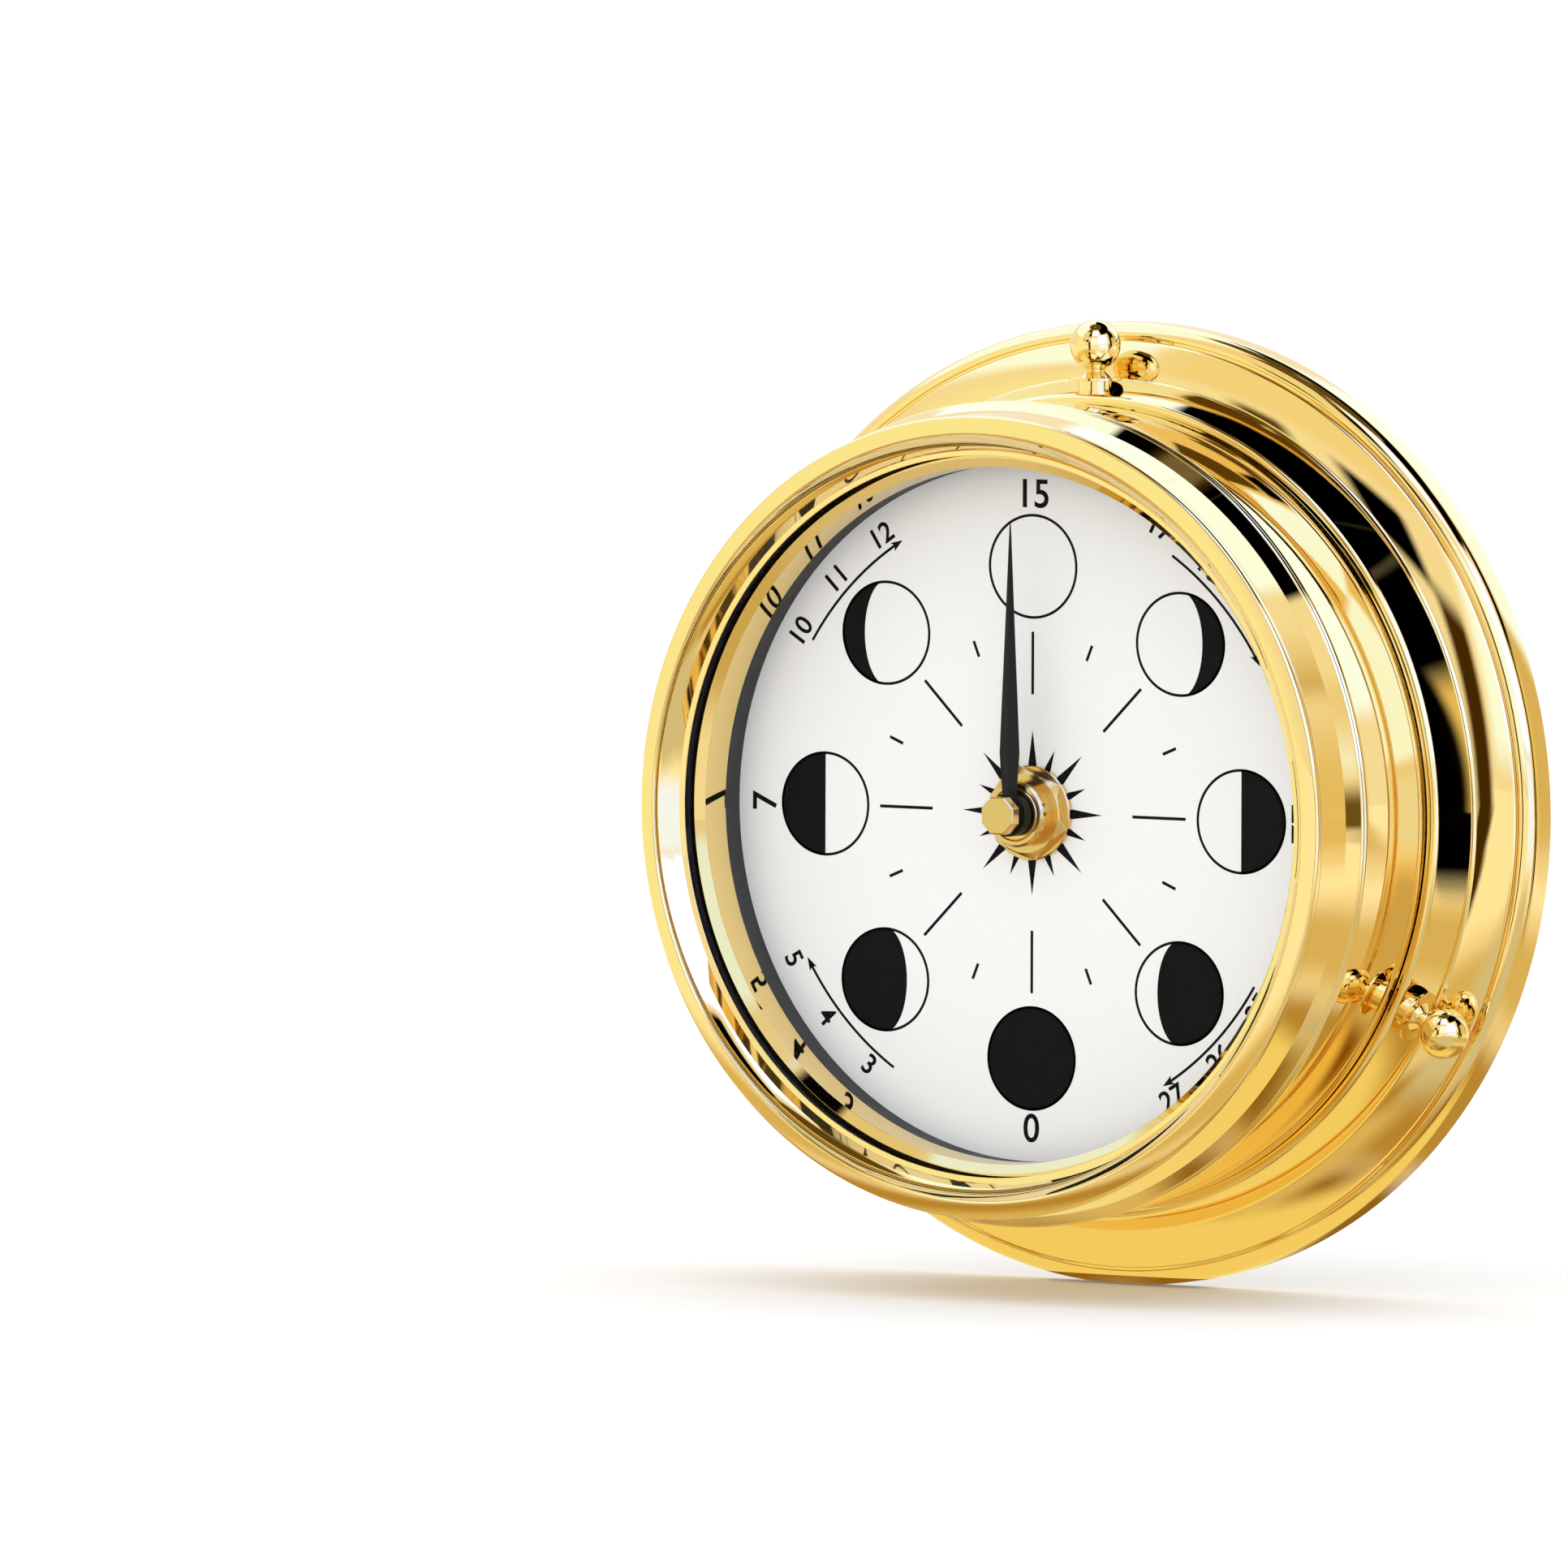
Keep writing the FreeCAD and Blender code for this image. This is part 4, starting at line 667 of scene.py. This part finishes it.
def arrow_head(degrees, radius):
    angle = math.radians(degrees)
    out = Vector((math.sin(angle), math.cos(angle)))
    way = Vector((out.y, -out.x))
    return [tuple(out * radius - way * HEAD_REACH + out * HEAD_HALF),
            tuple(out * radius + way * HEAD_REACH),
            tuple(out * radius - way * HEAD_REACH - out * HEAD_HALF),
            tuple(out * radius - way * HEAD_NOTCH)]


for number, (start, stop) in enumerate(ARROW_SPANS):
    ink("dial_arrow_%d" % number, [arc_band(start, stop, ARROW_RADIUS, ARROW_WIDTH)])
    ink("dial_arrow_head_%d" % number, [arrow_head(stop + HEAD_LEAD, ARROW_RADIUS)])


# Plain numbers for the moon's age in days, round the rim of the dial.
LUNAR_DAYS = 29.53
NUMBER_WEIGHT = 0.06
SIZE_OF_HEIGHT = 1.42
SMALL_DAYS = (3, 4, 5, 10, 11, 12, 17, 18, 19, 25, 26, 27)
SMALL_PLACE = (42.6, 2.7)
LARGE_DAYS = {0: 180, 7: 270, 15: 0, 22: 90}
LARGE_PLACE = (41.6, 3.7)


def number_sign(text, degrees, radius, height):
    """A printed number, with its head outwards on the upper half of the dial and inwards on
    the lower, so that it always reads upright."""
    data = bpy.data.curves.new("number_" + text, "FONT")
    data.body = text
    data.size = height * MM * SIZE_OF_HEIGHT
    data.align_x = "CENTER"
    data.align_y = "CENTER"
    data.extrude = (INK_HIGH - INK_LOW) / 2 * MM
    data.offset = NUMBER_WEIGHT * MM
    mesh = curve_mesh("number_" + text, data)
    angle = math.radians(degrees)
    upside = 90 < degrees % 360 < 270
    turn = Matrix.Rotation(-angle + (math.pi if upside else 0), 4, "Z")
    place = Matrix.Translation((radius * math.sin(angle) * MM, radius * math.cos(angle) * MM, 0))
    lift = Matrix.Translation((0, -(INK_LOW + INK_HIGH) / 2 * MM, 0))
    mesh.transform(lift @ AXIS @ place @ turn)
    mend_mesh(mesh, merge=True)
    piece = linked_object("number_" + text, mesh)
    finish_piece(piece, "case", "dial_white", finish="print_black")


for day in SMALL_DAYS:
    degrees = (day - LUNAR_DAYS / 2) * 360 / LUNAR_DAYS
    number_sign(str(day), degrees, *SMALL_PLACE)
for day, degrees in LARGE_DAYS.items():
    number_sign(str(day), degrees, *LARGE_PLACE)


# White floor and studio, with light and dark boards that show in reflections alone.
FLOOR_HEIGHT = -0.0635
FLOOR_HALF = 6.0
FLOOR_GLOW = 0.1
STUDIO_LEVEL = 1.45
CARD_DISTANCE = 2.6
CARD_GAP = 0.03
CARD_LOWEST = 0.0632
CARD_LIFT = 0.00003
CARD_STEP = 5.0


def stage_object(name, vertices, faces, material):
    mesh = bpy.data.meshes.new(name)
    mesh.from_pydata(vertices, [], faces)
    mesh.materials.append(material)
    thing = linked_object(name, mesh)
    return thing


def seen_directly(tree):
    """1 for rays that see the background itself: from the camera, off gloss or through glass."""
    rays = add_node(tree, "ShaderNodeLightPath")
    total = rays.outputs["Is Camera Ray"]
    for kind in ("Is Glossy Ray", "Is Transmission Ray"):
        join = add_node(tree, "ShaderNodeMath", operation="MAXIMUM")
        tree.links.new(total, join.inputs[0])
        tree.links.new(rays.outputs[kind], join.inputs[1])
        total = join.outputs["Value"]
    return total


def studio_floor():
    material, tree, shader = new_material("floor_white")
    noise = object_noise(tree, 2.0)
    blend_colours(tree, noise.outputs["Fac"], (0.72, 0.72, 0.72), (0.74, 0.74, 0.74),
                  shader.inputs["Base Color"])
    shader.inputs["Roughness"].default_value = 0.9
    shader.inputs["Specular IOR Level"].default_value = 0.0
    shader.inputs["Emission Color"].default_value = (1, 1, 1, 1)
    glow = spread(tree, seen_directly(tree), 0, 1, 0, FLOOR_GLOW)
    tree.links.new(glow, shader.inputs["Emission Strength"])
    corners = [(x * FLOOR_HALF, y * FLOOR_HALF, FLOOR_HEIGHT)
               for x, y in ((-1, -1), (1, -1), (1, 1), (-1, 1))]
    stage_object("studio_floor", corners, [(0, 1, 2, 3)], material)


def studio_world():
    world = bpy.data.worlds.new("studio")
    bpy.context.scene.world = world
    world.use_nodes = True
    tree = world.node_tree
    shader = tree.nodes["Background"]
    shader.inputs["Color"].default_value = (1, 1, 1, 1)
    level = spread(tree, seen_directly(tree), 0, 1, STUDIO_LEVEL, 1.0)
    tree.links.new(level, shader.inputs["Strength"])


def card_material(name, light, soft):
    """Light or dark board whose edges fade: soft is the faded share of its width and height."""
    material, tree, shader = new_material(name)
    tree.nodes.remove(shader)
    place = add_node(tree, "ShaderNodeUVMap")
    split = add_node(tree, "ShaderNodeSeparateXYZ")
    tree.links.new(place.outputs["UV"], split.inputs["Vector"])
    shade = None
    for axis, share in zip("XY", soft):
        if not share:
            continue
        away = add_node(tree, "ShaderNodeMath", operation="PINGPONG")
        away.inputs[1].default_value = 0.5
        tree.links.new(split.outputs[axis], away.inputs[0])
        fade = add_node(tree, "ShaderNodeMapRange", interpolation_type="SMOOTHSTEP")
        fade.inputs["From Max"].default_value = share
        tree.links.new(away.outputs["Value"], fade.inputs["Value"])
        if shade is None:
            shade = fade.outputs["Result"]
            continue
        both = add_node(tree, "ShaderNodeMath", operation="MULTIPLY")
        tree.links.new(shade, both.inputs[0])
        tree.links.new(fade.outputs["Result"], both.inputs[1])
        shade = both.outputs["Value"]
    glow = add_node(tree, "ShaderNodeEmission")
    glow.inputs["Color"].default_value = (*[c / max(light) if max(light) else 0 for c in light], 1)
    glow.inputs["Strength"].default_value = max(light)
    clear = add_node(tree, "ShaderNodeBsdfTransparent")
    mix = add_node(tree, "ShaderNodeMixShader")
    tree.links.new(shade, mix.inputs["Fac"])
    tree.links.new(clear.outputs["BSDF"], mix.inputs[1])
    tree.links.new(glow.outputs["Emission"], mix.inputs[2])
    tree.links.new(mix.outputs["Shader"], tree.nodes["Material Output"].inputs["Surface"])
    return material


def reflected_board(name, vertices, faces, shares, light, soft):
    """A board that shows in reflections alone. Shares tell where each vertex lies across its
    width and up its height, for the fading."""
    board = stage_object(name, vertices, faces, card_material(name, light, soft))
    layer = board.data.uv_layers.new()
    for loop in board.data.loops:
        layer.data[loop.index].uv = shares[loop.vertex_index]
    board.visible_camera = False
    board.visible_diffuse = False
    board.visible_shadow = False


def studio_card(number, name, left, right, low, high, light, soft):
    """A board round the clock, from one azimuth and elevation to another, in degrees. Azimuth 0 is
    in front of the dial and 90 is towards +X. What would be under the floor lies on it, and each
    board stands a little nearer than the one before."""
    distance = CARD_DISTANCE - CARD_GAP * number
    height = CARD_LOWEST - CARD_LIFT * number
    across = max(1, math.ceil((right - left) / CARD_STEP))
    upward = max(1, math.ceil((high - low) / CARD_STEP))
    levels = [low + (high - low) * row / upward for row in range(upward + 1)]
    foot = -math.degrees(math.asin(height / distance))
    if low < foot < high:
        levels = sorted(levels + [foot])
        upward += 1
    vertices, faces, shares = [], [], []
    for level in levels:
        for column in range(across + 1):
            azimuth = math.radians(left + (right - left) * column / across)
            elevation = math.radians(level)
            reach = distance
            if reach * math.sin(elevation) < -height:
                reach = height / -math.sin(elevation)
            vertices.append((reach * math.cos(elevation) * math.sin(azimuth),
                             -reach * math.cos(elevation) * math.cos(azimuth),
                             reach * math.sin(elevation)))
            shares.append((column / across, (level - low) / (high - low)))
    for row in range(upward):
        for column in range(across):
            corner = row * (across + 1) + column
            faces.append((corner, corner + 1, corner + across + 2, corner + across + 1))
    reflected_board(name, vertices, faces, shares, light, soft)


# Each board: azimuth from and to, elevation from and to, light, and faded shares. A later one
# stands in front of those before it.
BLACK = (0.0, 0.0, 0.0)
UMBER = (0.12, 0.08, 0.02)
COOL = (1.06, 1.42, 2.4)
BRIGHT = (1.12, 1.9, 6.5)
CREAM = (1.05, 1.14, 0.95)
GOLD = (0.76, 0.62, 0.32)
TAN = (0.52, 0.34, 0.09)
KHAKI = (0.72, 0.72, 0.7)
BROWN = (0.3, 0.16, 0.02)
CARDS = {
    "board_floor": (-180, 180, -89.9, -52, BROWN, (0.0, 0.2)),
    "board_low": (-180, 180, -58, -31, TAN, (0.0, 0.3)),
    "board_middle": (-180, 180, -37, -13, GOLD, (0.0, 0.4)),
    "board_right_front": (26, 82, -46, -8, KHAKI, (0.2, 0.25)),
    "board_front": (-35, 50, -72, -40, GOLD, (0.2, 0.2)),
    "box_left": (-178, -33, 28, 73, COOL, (0.04, 0.1)),
    "box_front": (-68, -11, -20, 31, CREAM, (0.15, 0.25)),
    "box_front_high": (-38, 12, 26, 60, (0.98, 0.92, 0.7), (0.2, 0.15)),
    "box_middle": (10, 48, 0, 36, COOL, (0.15, 0.15)),
    "box_top": (12, 56, 43, 69, BRIGHT, (0.12, 0.1)),
    "box_right": (44, 92, 7, 46, BRIGHT, (0.12, 0.1)),
    "box_right_low": (46, 92, -14, 12, (1.0, 1.35, 3.0), (0.12, 0.3)),
    "strip_right": (92.5, 98, 6, 36, COOL, (0.2, 0.2)),
    "board_right": (96, 136, -14, 32, (0.85, 0.7, 0.35), (0.12, 0.2)),
    "box_back": (148, 188, 10, 50, COOL, (0.1, 0.1)),
    "board_back": (134, 152, -16, 34, GOLD, (0.2, 0.25)),
    "board_side_low": (58, 90, -68, -38, (0.28, 0.15, 0.02), (0.2, 0.2)),
    "board_side": (94, 102, -24, 8, (0.16, 0.11, 0.03), (0.25, 0.2)),
    "flag_side": (102, 114.5, -20, 37, BLACK, (0.18, 0.14)),
    "flag_strip": (106, 138, 20, 54, BLACK, (0.12, 0.25)),
    "flag_front": (-5, 13, 37, 58, BLACK, (0.2, 0.15)),
    "flag_front_low": (-13, 3, 14, 27, BLACK, (0.25, 0.25)),
    "flag_front_strip": (-1, 12, -16, 19, (0.06, 0.03, 0.0), (0.3, 0.15)),
    "flag_front_spot": (-25, -16, 16, 28, UMBER, (0.35, 0.3)),
    "flag_front_top": (-28, 12, 57, 73, UMBER, (0.1, 0.1)),
    "flag_right_high": (62, 142, 46, 74, BLACK, (0.08, 0.1)),
    "flag_back_high": (134, 212, 50, 74, BLACK, (0.05, 0.08)),
    "flag_zenith": (-180, 180, 71, 89.9, UMBER, (0.0, 0.15)),
}


# A warm board just above the floor, which the flange's lower face mirrors from close by.
FOOT_HALF = 0.085
FOOT_BACK = 0.012
FOOT_FRONT = 0.026
FOOT_HEIGHT = -0.0622
FOOT_LIGHT = (0.98, 0.86, 0.4)
FOOT_SOFT = (0.15, 0.25)


def foot_board():
    corners = [(-FOOT_HALF, FOOT_BACK, FOOT_HEIGHT), (FOOT_HALF, FOOT_BACK, FOOT_HEIGHT),
               (FOOT_HALF, -FOOT_FRONT, FOOT_HEIGHT), (-FOOT_HALF, -FOOT_FRONT, FOOT_HEIGHT)]
    reflected_board("board_foot", corners, [(0, 1, 2, 3)], [(0, 0), (1, 0), (1, 1), (0, 1)],
                    FOOT_LIGHT, FOOT_SOFT)


studio_floor()
studio_world()
foot_board()
for card_number, (card_name, card_row) in enumerate(CARDS.items()):
    studio_card(card_number, card_name, *card_row)
